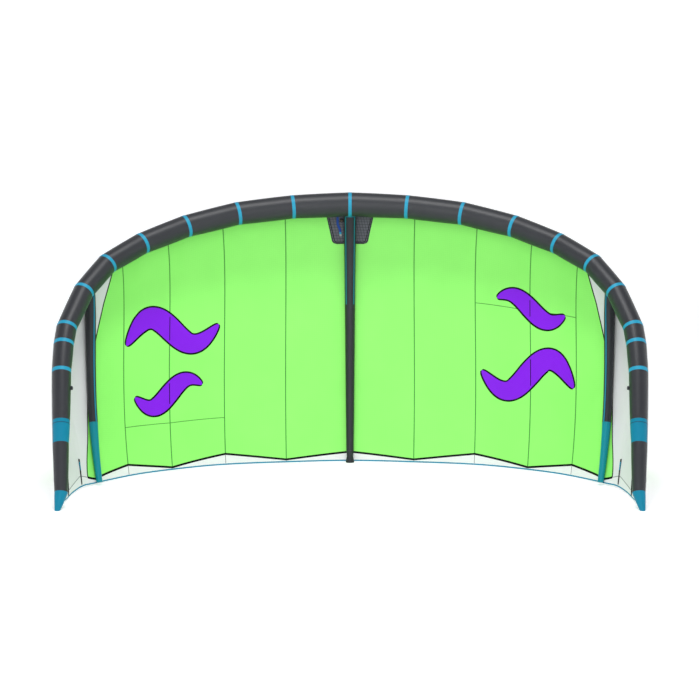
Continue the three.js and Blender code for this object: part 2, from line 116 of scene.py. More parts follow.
# The pale band's height above the trailing edge at each corner of its zigzag
BAND_RINGS = (0, 1.12, 2.25, 3.33, 4.43, 5.66, 6.9, 8.8, 10.7, 11.8, 12.25)
BAND_HEIGHTS = (72, 22, 84, 19, 84, 30, 54, 76, 42, 27, 20)

# How far the slanted tip seam has moved over, from the leading edge to the band
SLANT_ROWS = (0, 0.26, 0.4, 0.67, 0.82, 1)
SLANT_RINGS = (4.5, 4.98, 5.26, 5.72, 5.96, 6.9)

# The tip panel's lines, each from a ring at the tube to a ring at the band
TIP_FRONTS = (4.5, 5, 5.5, 6, 6.5, 7, 8, 9, 10, 11, 11.45, 11.7)
TIP_REARS = (6.9, 7.4, 7.8, 8.3, 8.8, 9.3, 9.8, 10.3, 10.7, 11.2, 11.8, 12.25)


class Side(Enum):
    """The two halves of the kite, as its hollow side is seen."""

    LEFT = -1
    RIGHT = 1

    @property
    def word(self) -> str:
        """The side's name in piece names."""
        return self.name.lower()

    @property
    def mirror(self) -> Points:
        """What turns a point of the right half into one of this half."""
        return np.array([self.value, 1, 1])


def column(rows: Sequence[NamedTuple], name: str) -> list[float]:
    """One column of a table."""
    return [getattr(row, name) for row in rows]


class Curve:
    """A smooth curve through one column of a table, which never swings past its rows."""

    def __init__(self, at: Sequence[float], values: Sequence[float]) -> None:
        """Keeps the rows and works out a slope at each.

        Args:
            at: where the rows stand, rising.
            values: the column's value in each row.
        """
        self.at = np.array(at, float)
        self.values = np.array(values, float)
        width = np.diff(self.at)
        rise = np.diff(self.values) / width
        slope = np.empty_like(self.values)
        slope[0], slope[-1] = rise[0], rise[-1]
        for i in range(1, len(rise)):
            before = 2 * width[i] + width[i - 1]
            after = width[i] + 2 * width[i - 1]
            same_way = rise[i - 1] * rise[i] > 0
            slope[i] = (before + after) / (before / rise[i - 1] + after / rise[i]) if same_way else 0
        self.slope = slope

    def __call__(self, at: Points) -> Points:
        """The column's value at each place.

        Args:
            at: places along the table.

        Returns:
            The values, in the shape of the places.
        """
        at = np.asarray(at, float)
        i = np.clip(np.searchsorted(self.at, at, side="right") - 1, 0, len(self.at) - 2)
        width = self.at[i + 1] - self.at[i]
        t = (at - self.at[i]) / width
        blend = t * t * (3 - 2 * t)
        level = self.values[i] + (self.values[i + 1] - self.values[i]) * blend
        return level + width * t * (1 - t) * ((1 - t) * self.slope[i] - t * self.slope[i + 1])


def unit(vectors: Points) -> Points:
    """Vectors of length one.

    Args:
        vectors: an array whose last axis holds X, Y and Z.

    Returns:
        The same directions at length one.
    """
    return vectors / np.linalg.norm(vectors, axis=-1, keepdims=True)


def dot(a: Points, b: Points) -> Points:
    """The dot products of two arrays of vectors, with the last axis kept."""
    return np.sum(a * b, axis=-1, keepdims=True)


def to_row(points: Points) -> Points:
    """Places in the tables' millimetres, moved into the row frame in metres."""
    return (points - np.array([0, MIDDLE_BACK, 0])) * MILLIMETRE


@dataclass(frozen=True)
class KiteForm:
    """The shape of the whole kite, which every piece is laid on.

    The cloth leaves the tube at front_angle and comes to the trailing edge at rear_angle. Each
    panel swells by billow between its seams, as cloth under light pressure does.
    """

    gap: float = 0.3
    front_angle: float = math.radians(24)
    rear_angle: float = math.radians(9)
    front_pull: float = 0.27
    rear_pull: float = 0.45
    billow: float = 3.0
    billow_power: float = 0.7
    small_step: float = 0.001
    tube: tuple[Curve, ...] = field(init=False)
    edge: tuple[Curve, ...] = field(init=False)

    def __post_init__(self) -> None:
        """Makes the curves of both edges, each with its second row mirrored across the middle."""
        for name, rows in (("tube", LEADING_EDGE), ("edge", TRAILING_EDGE)):
            rings = [-rows[1].ring] + column(rows, "ring")
            first = Side.LEFT.mirror * [getattr(rows[1], axis) for axis in AXES]
            curves = (Curve(rings, [value, *column(rows, axis)]) for value, axis in zip(first, AXES))
            object.__setattr__(self, name, tuple(curves))

    @staticmethod
    def point(curves: tuple[Curve, ...], ring: Points) -> Points:
        """The point of an edge's curve at each ring."""
        return np.stack([curve(ring) for curve in curves], axis=-1)

    def corner_point(self, ring: Points) -> Points:
        """The tube's centre at each ring of the right half, straight from ring to ring."""
        rings = column(LEADING_EDGE, "ring")
        return np.stack([np.interp(ring, rings, column(LEADING_EDGE, axis)) for axis in AXES], axis=-1)

    def radius(self, ring: Points) -> Points:
        """The tube's radius at each ring of the right half."""
        return np.interp(ring, column(LEADING_EDGE, "ring"), column(LEADING_EDGE, "radius"))

    def heading(self, curves: tuple[Curve, ...], ring: Points) -> Points:
        """The direction of an edge's curve at each ring."""
        ahead = self.point(curves, ring + self.small_step)
        return unit(ahead - self.point(curves, ring - self.small_step))

    def chord(self, ring: Points) -> Points:
        """The straight distance from the tube's centre to the trailing edge."""
        side = np.abs(ring)
        return np.linalg.norm(self.point(self.tube, side) - self.point(self.edge, side), axis=-1)

    def guides(self, ring: Points) -> tuple[Points, Points, Points, Points]:
        """The four guide points of the cloth's curve at each ring of the right half.

        Args:
            ring: ring numbers from the middle outwards.

        Returns:
            The points that the curve starts from, is drawn towards twice, and ends at.
        """
        front = self.point(self.tube, ring)
        rear = self.point(self.edge, ring)
        size = np.linalg.norm(rear - front, axis=-1, keepdims=True)
        chordwise = (rear - front) / size
        along = self.heading(self.tube, ring)
        out_front = unit(np.cross(along, chordwise))
        out_rear = unit(np.cross(self.heading(self.edge, ring), chordwise))
        rearward = unit(chordwise - along * dot(chordwise, along))
        bend = np.radians(np.interp(ring, BEND_RINGS, BEND_DEGREES))
        reach = ((self.radius(ring) + self.gap) / np.cos(bend))[..., None]
        cos_front, sin_front = math.cos(self.front_angle), math.sin(self.front_angle)
        start = front + (out_front * cos_front - rearward * sin_front) * reach
        second = start + (rearward * cos_front + out_front * sin_front) * self.front_pull * size
        rise = out_rear * math.sin(self.rear_angle) - chordwise * math.cos(self.rear_angle)
        third = rear + rise * self.rear_pull * size
        return start, second, third, rear

    def bare_cloth(self, ring: Points, run: Points) -> Points:
        """The cloth's inner face without the swelling between seams.

        Args:
            ring: ring numbers, negative on the left.
            run: 0 at the leading edge to 1 at the trailing edge.

        Returns:
            The points in the tables' millimetres.
        """
        ring, run = np.broadcast_arrays(np.asarray(ring, float), np.asarray(run, float))
        side = np.abs(ring)
        t = run[..., None]
        weights = ((1 - t) ** 3, 3 * (1 - t) ** 2 * t, 3 * (1 - t) * t**2, t**3)
        points = sum(guide * weight for guide, weight in zip(self.guides(side), weights))
        points = points + (self.corner_point(side) - self.point(self.tube, side)) * (1 - t) ** 3
        mirror = np.where(ring < 0, -1, 1)[..., None]
        return np.concatenate([points[..., :1] * mirror, points[..., 1:]], axis=-1)

    def slopes(self, ring: Points, run: Points) -> tuple[Points, Points]:
        """How fast the cloth moves on along the span and towards the rear at each place.

        Args:
            ring: ring numbers, negative on the left.
            run: 0 at the leading edge to 1 at the trailing edge.

        Returns:
            Millimetres for each ring, and millimetres for each whole run.
        """
        step = self.small_step
        spanwise = self.bare_cloth(ring + step, run) - self.bare_cloth(ring - step, run)
        rearward = self.bare_cloth(ring, run + step) - self.bare_cloth(ring, run - step)
        return spanwise / (2 * step), rearward / (2 * step)

    def normal(self, ring: Points, run: Points) -> Points:
        """The direction out of the hollow side at each place."""
        return unit(np.cross(*self.slopes(ring, run)))

    def swelling(self, ring: Points, run: Points) -> Points:
        """How far each place stands out between its panel's seams, in millimetres."""
        side = np.abs(ring)
        between = np.interp(side, SEAM_RINGS, range(len(SEAM_RINGS))) % 1
        fore_and_aft = np.sin(np.pi * np.clip(run, 0, 1)) ** self.billow_power
        return self.billow * np.sin(np.pi * between) ** 2 * fore_and_aft

    def place(self, ring: Points, run: Points, depth: float) -> Points:
        """A place on the cloth, in metres in the row frame.

        Args:
            ring: ring numbers, negative on the left.
            run: 0 at the leading edge to 1 at the trailing edge.
            depth: millimetres outwards from the cloth's inner face.

        Returns:
            The points, in the shape of the places with X, Y and Z last.
        """
        ring, run = np.broadcast_arrays(np.asarray(ring, float), np.asarray(run, float))
        out = self.swelling(ring, run) + depth
        return to_row(self.bare_cloth(ring, run) + self.normal(ring, run) * out[..., None])

    def run_at(self, ring: Points, height: Points) -> Points:
        """The run of a place at a height in millimetres above the trailing edge."""
        return 1 - height / (3 * self.rear_pull * self.chord(ring))

    def band_run(self, ring: Points) -> Points:
        """The run of the pale band's zigzag at each ring."""
        return self.run_at(ring, np.interp(np.abs(ring), BAND_RINGS, BAND_HEIGHTS))

    def beside(self, ring: Points, run: Points, offset: Points) -> tuple[Points, Points]:
        """Places beside a line over the cloth, at right angles to it.

        Args:
            ring: the line's ring numbers.
            run: the line's runs.
            offset: the distance from each point of the line in millimetres.

        Returns:
            The ring numbers and runs of the places beside it.
        """
        spanwise, rearward = self.slopes(ring, run)
        heading = np.gradient(self.bare_cloth(ring, run), axis=0)
        away = unit(np.cross(self.normal(ring, run), heading)) * offset[..., None]
        level = unit(spanwise)
        drift = dot(rearward, level)
        fall = unit(rearward - level * drift)
        run_step = dot(away, fall) / dot(rearward, fall)
        ring_step = (dot(away, level) - run_step * drift) / np.linalg.norm(spanwise, axis=-1, keepdims=True)
        return ring + ring_step[..., 0], run + run_step[..., 0]


FORM = KiteForm()
SLANT = Curve(SLANT_ROWS, SLANT_RINGS)


def slant(row: Points) -> Points:
    """How far a slanted line has moved over, from 0 at the leading edge to 1 at the band."""
    return (SLANT(row) - SLANT_RINGS[0]) / (SLANT_RINGS[-1] - SLANT_RINGS[0])


def finer(values: Sequence[float], parts: int) -> Points:
    """A rising list with each step cut into equal parts."""
    last = len(values) - 1
    return np.interp(np.linspace(0, last, last * parts + 1), range(last + 1), values)


def stepped(start: float, end: float, step: float) -> Points:
    """Even places from start to end, no further apart than step."""
    return np.linspace(start, end, max(2, math.ceil(abs(end - start) / step) + 1))


def spokes(across: Points, out: Points, sides: int) -> Points:
    """Directions round a tube, which start at out and turn towards across.

    Args:
        across: directions across the tube, with X, Y and Z last.
        out: directions at right angles to them.
        sides: how many directions go round.

    Returns:
        The directions, with one axis more for the way round.
    """
    turn = np.linspace(0, 2 * np.pi, sides, endpoint=False)[:, None]
    return across[..., None, :] * np.sin(turn) + out[..., None, :] * np.cos(turn)


def lengths(points: Points, axis: int) -> Points:
    """Distances travelled along one axis of a grid of points, from 0 at its first line."""
    steps = np.linalg.norm(np.diff(points, axis=axis), axis=-1)
    start = np.zeros_like(np.take(steps, [0], axis=axis))
    return np.cumsum(np.concatenate([start, steps], axis=axis), axis=axis)


def linear(colour: str) -> tuple[float, float, float, float]:
    """A linear colour for Blender from an sRGB hex value such as #98ff78."""
    parts = [int(colour[i : i + 2], 16) / 255 for i in (1, 3, 5)]
    red, green, blue = (p / 12.92 if p <= 0.04045 else ((p + 0.055) / 1.055) ** 2.4 for p in parts)
    return red, green, blue, 1.0


def add_node(
    tree: bpy.types.NodeTree, kind: str, inputs: dict | None = None, **settings: object
) -> bpy.types.Node:
    """Adds a node with its settings and links.

    Args:
        tree: the material's or world's node tree.
        kind: Blender's name for the node.
        inputs: for each input's name or number, its value or the output that feeds it.
        settings: the node's own properties.

    Returns:
        The node.
    """
    made = tree.nodes.new(kind)
    for name, value in settings.items():
        setattr(made, name, value)
    for key, value in (inputs or {}).items():
        if isinstance(value, bpy.types.NodeSocket):
            tree.links.new(value, made.inputs[key])
        else:
            made.inputs[key].default_value = value
    return made


# The part of a noise pattern's range that it mostly stays in
NOISE_LOW = 0.3
NOISE_HIGH = 0.7

# How much rougher the hollows of a weave are, and its threads smoother
GLOSS_SWING = 0.05

# How narrow a ripstop thread and a stitch are within the spacing of their pattern
RIPSTOP_NARROW = 24
STITCH_NARROW = 3

# How far from a seam its wrinkles reach, and how large they are, in metres
PUCKER_REACH = 0.07
PUCKER_SIZE = 1 / 28


class Weave(Enum):
    """How a cloth is made, as the eye sees it."""

    RIPSTOP = "thin cloth with a raised square grid"
    PLAIN = "heavy plain weave"
    TAPE = "narrow tape with a row of stitches along each edge"
    MOULDED = "smooth moulded plastic"


@dataclass(frozen=True)
class Finish:
    """A cloth or plastic, from its real name, its colours and the size of its pattern.

    The colour goes to deep in the pattern's hollows. grid is the spacing of the ripstop threads,
    weave's threads or stitches in millimetres, and relief is the height of the pattern in them.
    """

    name: str
    weave: Weave
    colour: str
    deep: str
    grid: float
    relief: float
    roughness: float
    sheen: float = 0.0
    pucker: float = 0.0
    contrast: float = 0.25
    mottle: float = 0.24
    specular: float = 0.3

    def ridge(
        self, tree: bpy.types.NodeTree, along: bpy.types.NodeSocket, narrow: float
    ) -> bpy.types.NodeSocket:
        """Narrow ridges, one for each thread or stitch of the grid.

        Args:
            tree: the material's node tree.
            along: the distance in metres that the ridges follow one another in.
            narrow: how narrow a ridge is, from 1 for a soft wave.

        Returns:
            A value of 1 on each ridge and 0 between them.
        """
        rate = math.pi / (self.grid * MILLIMETRE)
        turn = add_node(tree, "ShaderNodeMath", {0: along, 1: rate}, operation="MULTIPLY")
        wave = add_node(tree, "ShaderNodeMath", {0: turn.outputs[0]}, operation="COSINE")
        height = add_node(tree, "ShaderNodeMath", {0: wave.outputs[0]}, operation="ABSOLUTE")
        sharp = add_node(tree, "ShaderNodeMath", {0: height.outputs[0], 1: narrow}, operation="POWER")
        return sharp.outputs[0]

    def pattern(self, tree: bpy.types.NodeTree, cloth_map: bpy.types.NodeSocket) -> bpy.types.NodeSocket:
        """The cloth's own relief, from 0 in its hollows to 1 on its threads.

        Args:
            tree: the material's node tree.
            cloth_map: across and along in metres.

        Returns:
            The height.
        """
        parts = add_node(tree, "ShaderNodeSeparateXYZ", {0: cloth_map})
        across, along = parts.outputs[0], parts.outputs[1]
        if self.weave is Weave.RIPSTOP:
            warp = self.ridge(tree, across, RIPSTOP_NARROW)
            weft = self.ridge(tree, along, RIPSTOP_NARROW)
            return add_node(tree, "ShaderNodeMath", {0: warp, 1: weft}, operation="MAXIMUM").outputs[0]
        if self.weave is Weave.PLAIN:
            warp = self.ridge(tree, across, 1)
            weft = self.ridge(tree, along, 1)
            return add_node(tree, "ShaderNodeMath", {0: warp, 1: weft}, operation="MULTIPLY").outputs[0]
        if self.weave is Weave.TAPE:
            return self.ridge(tree, along, STITCH_NARROW)
        scale = 1 / (self.grid * MILLIMETRE)
        grain = add_node(tree, "ShaderNodeTexNoise", {"Vector": cloth_map, "Scale": scale, "Detail": 4.0})
        return grain.outputs[0]

    def material(self) -> bpy.types.Material:
        """The finish's material, made once."""
        return bpy.data.materials.get(self.name) or self.build()

    def build(self) -> bpy.types.Material:
        """Makes the material.

        Returns:
            The material, whose colour, gloss and relief all follow the weave.
        """
        material = bpy.data.materials.new(self.name)
        material.use_nodes = True
        tree = material.node_tree
        tree.nodes.clear()
        cloth_map = add_node(tree, "ShaderNodeUVMap", uv_map="cloth").outputs[0]
        height = self.pattern(tree, cloth_map)
        place = add_node(tree, "ShaderNodeTexCoord").outputs["Object"]
        drift = add_node(tree, "ShaderNodeTexNoise", {"Vector": place, "Scale": 3.0, "Detail": 3.0})
        limits = {"From Min": NOISE_LOW, "From Max": NOISE_HIGH, "To Min": 0.0, "To Max": self.mottle}
        fade = add_node(tree, "ShaderNodeMapRange", {"Value": drift.outputs[0], **limits})
        depth = add_node(tree, "ShaderNodeMath", {0: 1.0, 1: height}, operation="SUBTRACT")
        share = add_node(
            tree,
            "ShaderNodeMath",
            {0: depth.outputs[0], 1: self.contrast, 2: fade.outputs[0]},
            operation="MULTIPLY_ADD",
        )
        colour = add_node(
            tree,
            "ShaderNodeMix",
            {"Factor": share.outputs[0], "A": linear(self.colour), "B": linear(self.deep)},
            data_type="RGBA",
            clamp_factor=True,
        )
        gloss = add_node(
            tree,
            "ShaderNodeMapRange",
            {
                "Value": height,
                "To Min": self.roughness + GLOSS_SWING,
                "To Max": self.roughness - GLOSS_SWING,
            },
        )
        relief = add_node(
            tree,
            "ShaderNodeBump",
            {"Height": height, "Distance": self.relief * MILLIMETRE, "Strength": 0.8},
        )
        normal = relief.outputs[0]
        if self.pucker:
            normal = self.puckers(tree, cloth_map, normal)
        surface = add_node(
            tree,
            "ShaderNodeBsdfPrincipled",
            {
                "Base Color": colour.outputs["Result"],
                "Roughness": gloss.outputs[0],
                "IOR": 1.5,
                "Specular IOR Level": self.specular,
                "Sheen Weight": self.sheen,
                "Sheen Roughness": 0.4,
                "Normal": normal,
            },
        )
        add_node(tree, "ShaderNodeOutputMaterial", {"Surface": surface.outputs[0]})
        return material

    def puckers(
        self, tree: bpy.types.NodeTree, cloth_map: bpy.types.NodeSocket, normal: bpy.types.NodeSocket
    ) -> bpy.types.NodeSocket:
        """Short wrinkles that sewing draws in beside a seam.

        Args:
            tree: the material's node tree.
            cloth_map: across and along in metres.
            normal: the surface's direction so far.

        Returns:
            The direction with the wrinkles added.
        """
        seam = add_node(tree, "ShaderNodeAttribute", attribute_name="seam").outputs["Fac"]
        near = add_node(
            tree,
            "ShaderNodeMapRange",
            {"Value": seam, "From Min": 0.0, "From Max": PUCKER_REACH, "To Min": 1.0, "To Max": 0.0},
            interpolation_type="SMOOTHSTEP",
        )
        noise = {"Vector": cloth_map, "Scale": 1 / PUCKER_SIZE, "Detail": 1.0}
        wrinkles = add_node(tree, "ShaderNodeTexNoise", noise)
        drawn = {0: wrinkles.outputs[0], 1: near.outputs[0]}
        height = add_node(tree, "ShaderNodeMath", drawn, operation="MULTIPLY").outputs[0]
        bump = add_node(
            tree,
            "ShaderNodeBump",
            {"Height": height, "Distance": self.pucker * MILLIMETRE, "Strength": 0.7, "Normal": normal},
        )
        return bump.outputs[0]


# Ripstop canopy polyester: thin, smooth and lightly glossy, with a raised grid of thicker
# threads. Its real grid is 5 mm, drawn here at 15 mm because a finer one can't show.
RIPSTOP = Finish("green_ripstop_polyester", Weave.RIPSTOP, "#92f26f", "#82e262", 15, 0.25, 0.5, pucker=1.2)
GREEN_RIPSTOP = RIPSTOP
PALE_RIPSTOP = replace(RIPSTOP, name="pale_ripstop_polyester", colour="#dfe1e1", deep="#ced1d1")
WHITE_RIPSTOP = replace(RIPSTOP, name="white_ripstop_polyester", colour="#e6e8e8", deep="#d6d9da")
VIOLET_RIPSTOP = replace(RIPSTOP, name="violet_ripstop_polyester", colour="#8304e6", deep="#7102cc")

# The reinforcement's ripstop is heavier. Its real grid is 11 mm, drawn at 22 mm so that it shows.
GREY_RIPSTOP = Finish(
    "grey_ripstop_reinforcement", Weave.RIPSTOP, "#303137", "#595b63", 22, 0.5, 0.6, contrast=1.0, mottle=0.0
)

# Heavy woven polyester of the inflated tubes: a tight plain weave with a dull shine. Its real
# threads are 0.6 mm apart, drawn at 4 mm.
TUBE = Finish("grey_woven_polyester", Weave.PLAIN, "#27292f", "#1f2125", 4, 0.25, 0.4, specular=0.45)
GREY_TUBE_CLOTH = TUBE
DARK_TUBE_CLOTH = replace(TUBE, name="dark_woven_polyester", colour="#2d2f34", deep="#232428", specular=0.25)
BLUE_TUBE_CLOTH = replace(TUBE, name="blue_woven_polyester", colour="#0e7f9d", deep="#0b6c87", specular=0.15)
TEAL_TUBE_CLOTH = replace(TUBE, name="teal_woven_polyester", colour="#0a8796", deep="#077380", specular=0.2)

# Woven tapes over the seams: flat, with the stitches that hold them showing as small ribs
TAPE = Finish("cyan_seam_tape", Weave.TAPE, "#2399bc", "#1b84a4", 5, 0.3, 0.45)
CYAN_TAPE = TAPE
BLUE_TAPE = replace(TAPE, name="blue_edge_tape", colour="#1f88aa", deep="#17728f", specular=0.2)
DEEP_BLUE_STITCHES = replace(TAPE, name="deep_blue_stitching", colour="#0b536c", deep="#084257")
BLACK_TAPE = replace(TAPE, name="black_seam_tape", colour="#07080a", deep="#040506", specular=0.1)
GREEN_SEAM = replace(TAPE, name="green_felled_seam", colour="#4b9a3e", deep="#3d8032", roughness=0.6)
GREY_SEAM = replace(TAPE, name="grey_felled_seam", colour="#8f9496", deep="#7a7f82", roughness=0.6)
TEAL_PIPING = replace(TAPE, name="teal_piping", colour="#1c7f93", deep="#156a7b", specular=0.2)

# Flat woven webbing with a coarser rib
BLUE_WEBBING = Finish("blue_webbing", Weave.TAPE, "#1746a0", "#10357c", 3, 0.5, 0.65)
PALE_WEBBING = replace(BLUE_WEBBING, name="pale_webbing", colour="#98a5a3", deep="#7f8b89")
DARK_WEBBING = replace(BLUE_WEBBING, name="dark_webbing", colour="#2b2d31", deep="#202226")

# Moulded polyurethane of the valve: smooth, dark and a little glossy
VALVE_PLASTIC = Finish("black_moulded_polyurethane", Weave.MOULDED, "#1e2023", "#17181b", 3, 0.05, 0.38)
VALVE_CAP = replace(VALVE_PLASTIC, name="brown_moulded_polyurethane", colour="#5a4a40", deep="#46382f")


# An edge that bends more sharply than this stays crisp
CRISP_ANGLE = math.radians(40)


@dataclass
class Piece:
    """A mesh under construction, with a cloth map in metres and its distance from a seam."""

    name: str
    points: list[Points] = field(default_factory=list)
    maps: list[Points] = field(default_factory=list)
    seams: list[Points] = field(default_factory=list)
    faces: list[tuple[int, ...]] = field(default_factory=list)
    count: int = 0

    def add_points(self, points: Points, cloth_map: Points, seam: Points | float) -> Points:
        """Adds a block of points.

        Args:
            points: an array with X, Y and Z last.
            cloth_map: across and along in metres, with the two last.
            seam: each point's distance from the nearest seam, in metres.

        Returns:
            The points' numbers, in the block's own shape.
        """
        shape = points.shape[:-1]
        size = int(np.prod(shape))
        self.points.append(points.reshape(size, 3))
        self.maps.append(np.broadcast_to(cloth_map, (*shape, 2)).reshape(size, 2))
        self.seams.append(np.broadcast_to(seam, shape).reshape(size))
        numbers = np.arange(self.count, self.count + size).reshape(shape)
        self.count += size
        return numbers

    def add_quads(self, a: Points, b: Points, c: Points, d: Points) -> None:
        """Adds faces through four arrays of point numbers."""
        self.faces.extend(map(tuple, np.stack([a, b, c, d], axis=-1).reshape(-1, 4).tolist()))

    def add_sheet(self, inner: Points, outer: Points) -> None:
        """Adds a closed sheet between two grids of points.

        Args:
            inner: the face towards the hollow side, rows from front to rear.
            outer: the face away from it, in the same order.
        """
        along, across = lengths(inner, 0), lengths(inner, 1)
        seam = np.minimum.reduce([across, across[:, -1:] - across, along, along[-1:] - along])
        cloth_map = np.stack([across, along], axis=-1)
        near = self.add_points(inner, cloth_map, seam)
        far = self.add_points(outer, cloth_map, seam)
        self.add_quads(near[:-1, :-1], near[:-1, 1:], near[1:, 1:], near[1:, :-1])
        self.add_quads(far[:-1, :-1], far[1:, :-1], far[1:, 1:], far[:-1, 1:])
        rim = [near[0, :], near[:, -1], near[-1, ::-1], near[::-1, 0]]
        far_rim = [far[0, :], far[:, -1], far[-1, ::-1], far[::-1, 0]]
        for edge, far_edge in zip(rim, far_rim):
            self.add_quads(edge[:-1], far_edge[:-1], far_edge[1:], edge[1:])

    def add_loft(self, loops: Points, looped: bool = False) -> None:
        """Adds a closed skin through loops of points.

        Args:
            loops: an array of loops, each an array of points.
            looped: True joins the last loop to the first, and False closes both ends.
        """
        girth = lengths(np.concatenate([loops, loops[:, :1]], axis=1), 1)
        run = np.broadcast_to(lengths(loops.mean(axis=1), 0)[:, None], loops.shape[:2])
        numbers = self.add_points(loops, np.stack([girth[:, :-1], run], axis=-1), 1.0)
        turned = np.roll(numbers, -1, axis=1)
        self.add_quads(numbers[:-1], turned[:-1], turned[1:], numbers[1:])
        if looped:
            self.add_quads(numbers[-1], turned[-1], turned[0], numbers[0])
            return
        self.faces.append(tuple(numbers[0, ::-1].tolist()))
        self.faces.append(tuple(numbers[-1].tolist()))

    def add_band(self, rows: Sequence[Points], beside: Points) -> None:
        """Adds a closed flat band between two lines of middle points.

        Args:
            rows: the line of the near face and that of the far face, in metres.
            beside: from each middle point to the band's edge.
        """
        self.add_sheet(*(np.stack([row - beside, row + beside], axis=1) for row in rows))

    def finish(self, finish: Finish, slot: str, replaced: Sequence[str] = ()) -> bpy.types.Object:
        """Makes the Blender object, dresses it and fixes it to the kite's body.

        Args:
            finish: what the piece is made of.
            slot: the record's material slot; not used.
            replaced: the plain solids that this piece stands for.

        Returns:
            The object.
        """
        mesh = bpy.data.meshes.new(self.name)
        mesh.from_pydata(np.concatenate(self.points).tolist(), [], self.faces)
        corners = np.empty(len(mesh.loops), int)
        mesh.loops.foreach_get("vertex_index", corners)
        cloth_map = mesh.uv_layers.new(name="cloth")
        cloth_map.data.foreach_set("uv", np.concatenate(self.maps)[corners].astype(np.float32).ravel())
        seam = mesh.attributes.new("seam", "FLOAT", "POINT")
        seam.data.foreach_set("value", np.concatenate(self.seams).astype(np.float32))
        mesh.polygons.foreach_set("use_smooth", np.ones(len(mesh.polygons), bool))
        mesh.set_sharp_from_angle(angle=CRISP_ANGLE)
        mesh.materials.append(finish.material())
        made = bpy.data.objects.new(self.name, mesh)
        bpy.context.scene.collection.objects.link(made)
        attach(made, BODY)
        if replaced:
            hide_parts(*replaced)
        log.info("%s: %d faces", self.name, len(self.faces))
        return made


def add_skin(
    name: str,
    loops: Points,
    finish: Finish,
    slot: str,
    replaced: Sequence[str] = (),
    looped: bool = False,
) -> None:
    """Makes a piece of one skin.

    Args:
        name: the piece's name.
        loops: the loops that the skin goes through, in the tables' millimetres.
        finish: what it is made of.
        slot: the record's material slot.
        replaced: the plain solids that it stands for.
        looped: True joins the last loop to the first.
    """
    piece = Piece(name)
    piece.add_loft(to_row(loops), looped)
    made = piece.finish(finish, slot, replaced)


def add_cloth(
    node: str,
    grid: tuple[Points, Points],
    depths: tuple[float, float],
    finish: Finish,
    slot: str,
) -> None:
    """Makes a sheet of cloth.

    Args:
        node: the plain solid that it stands for.
        grid: the rings and the runs of its points, rows from front to rear.
        depths: millimetres outwards from the cloth's inner face to the sheet's own two faces.
        finish: what it is made of.
        slot: the record's material slot.
    """
    inner, outer = (FORM.place(*grid, depth) for depth in depths)
    piece = Piece(f"{node}_cloth")
    piece.add_sheet(inner, outer)
    made = piece.finish(finish, slot, [node])


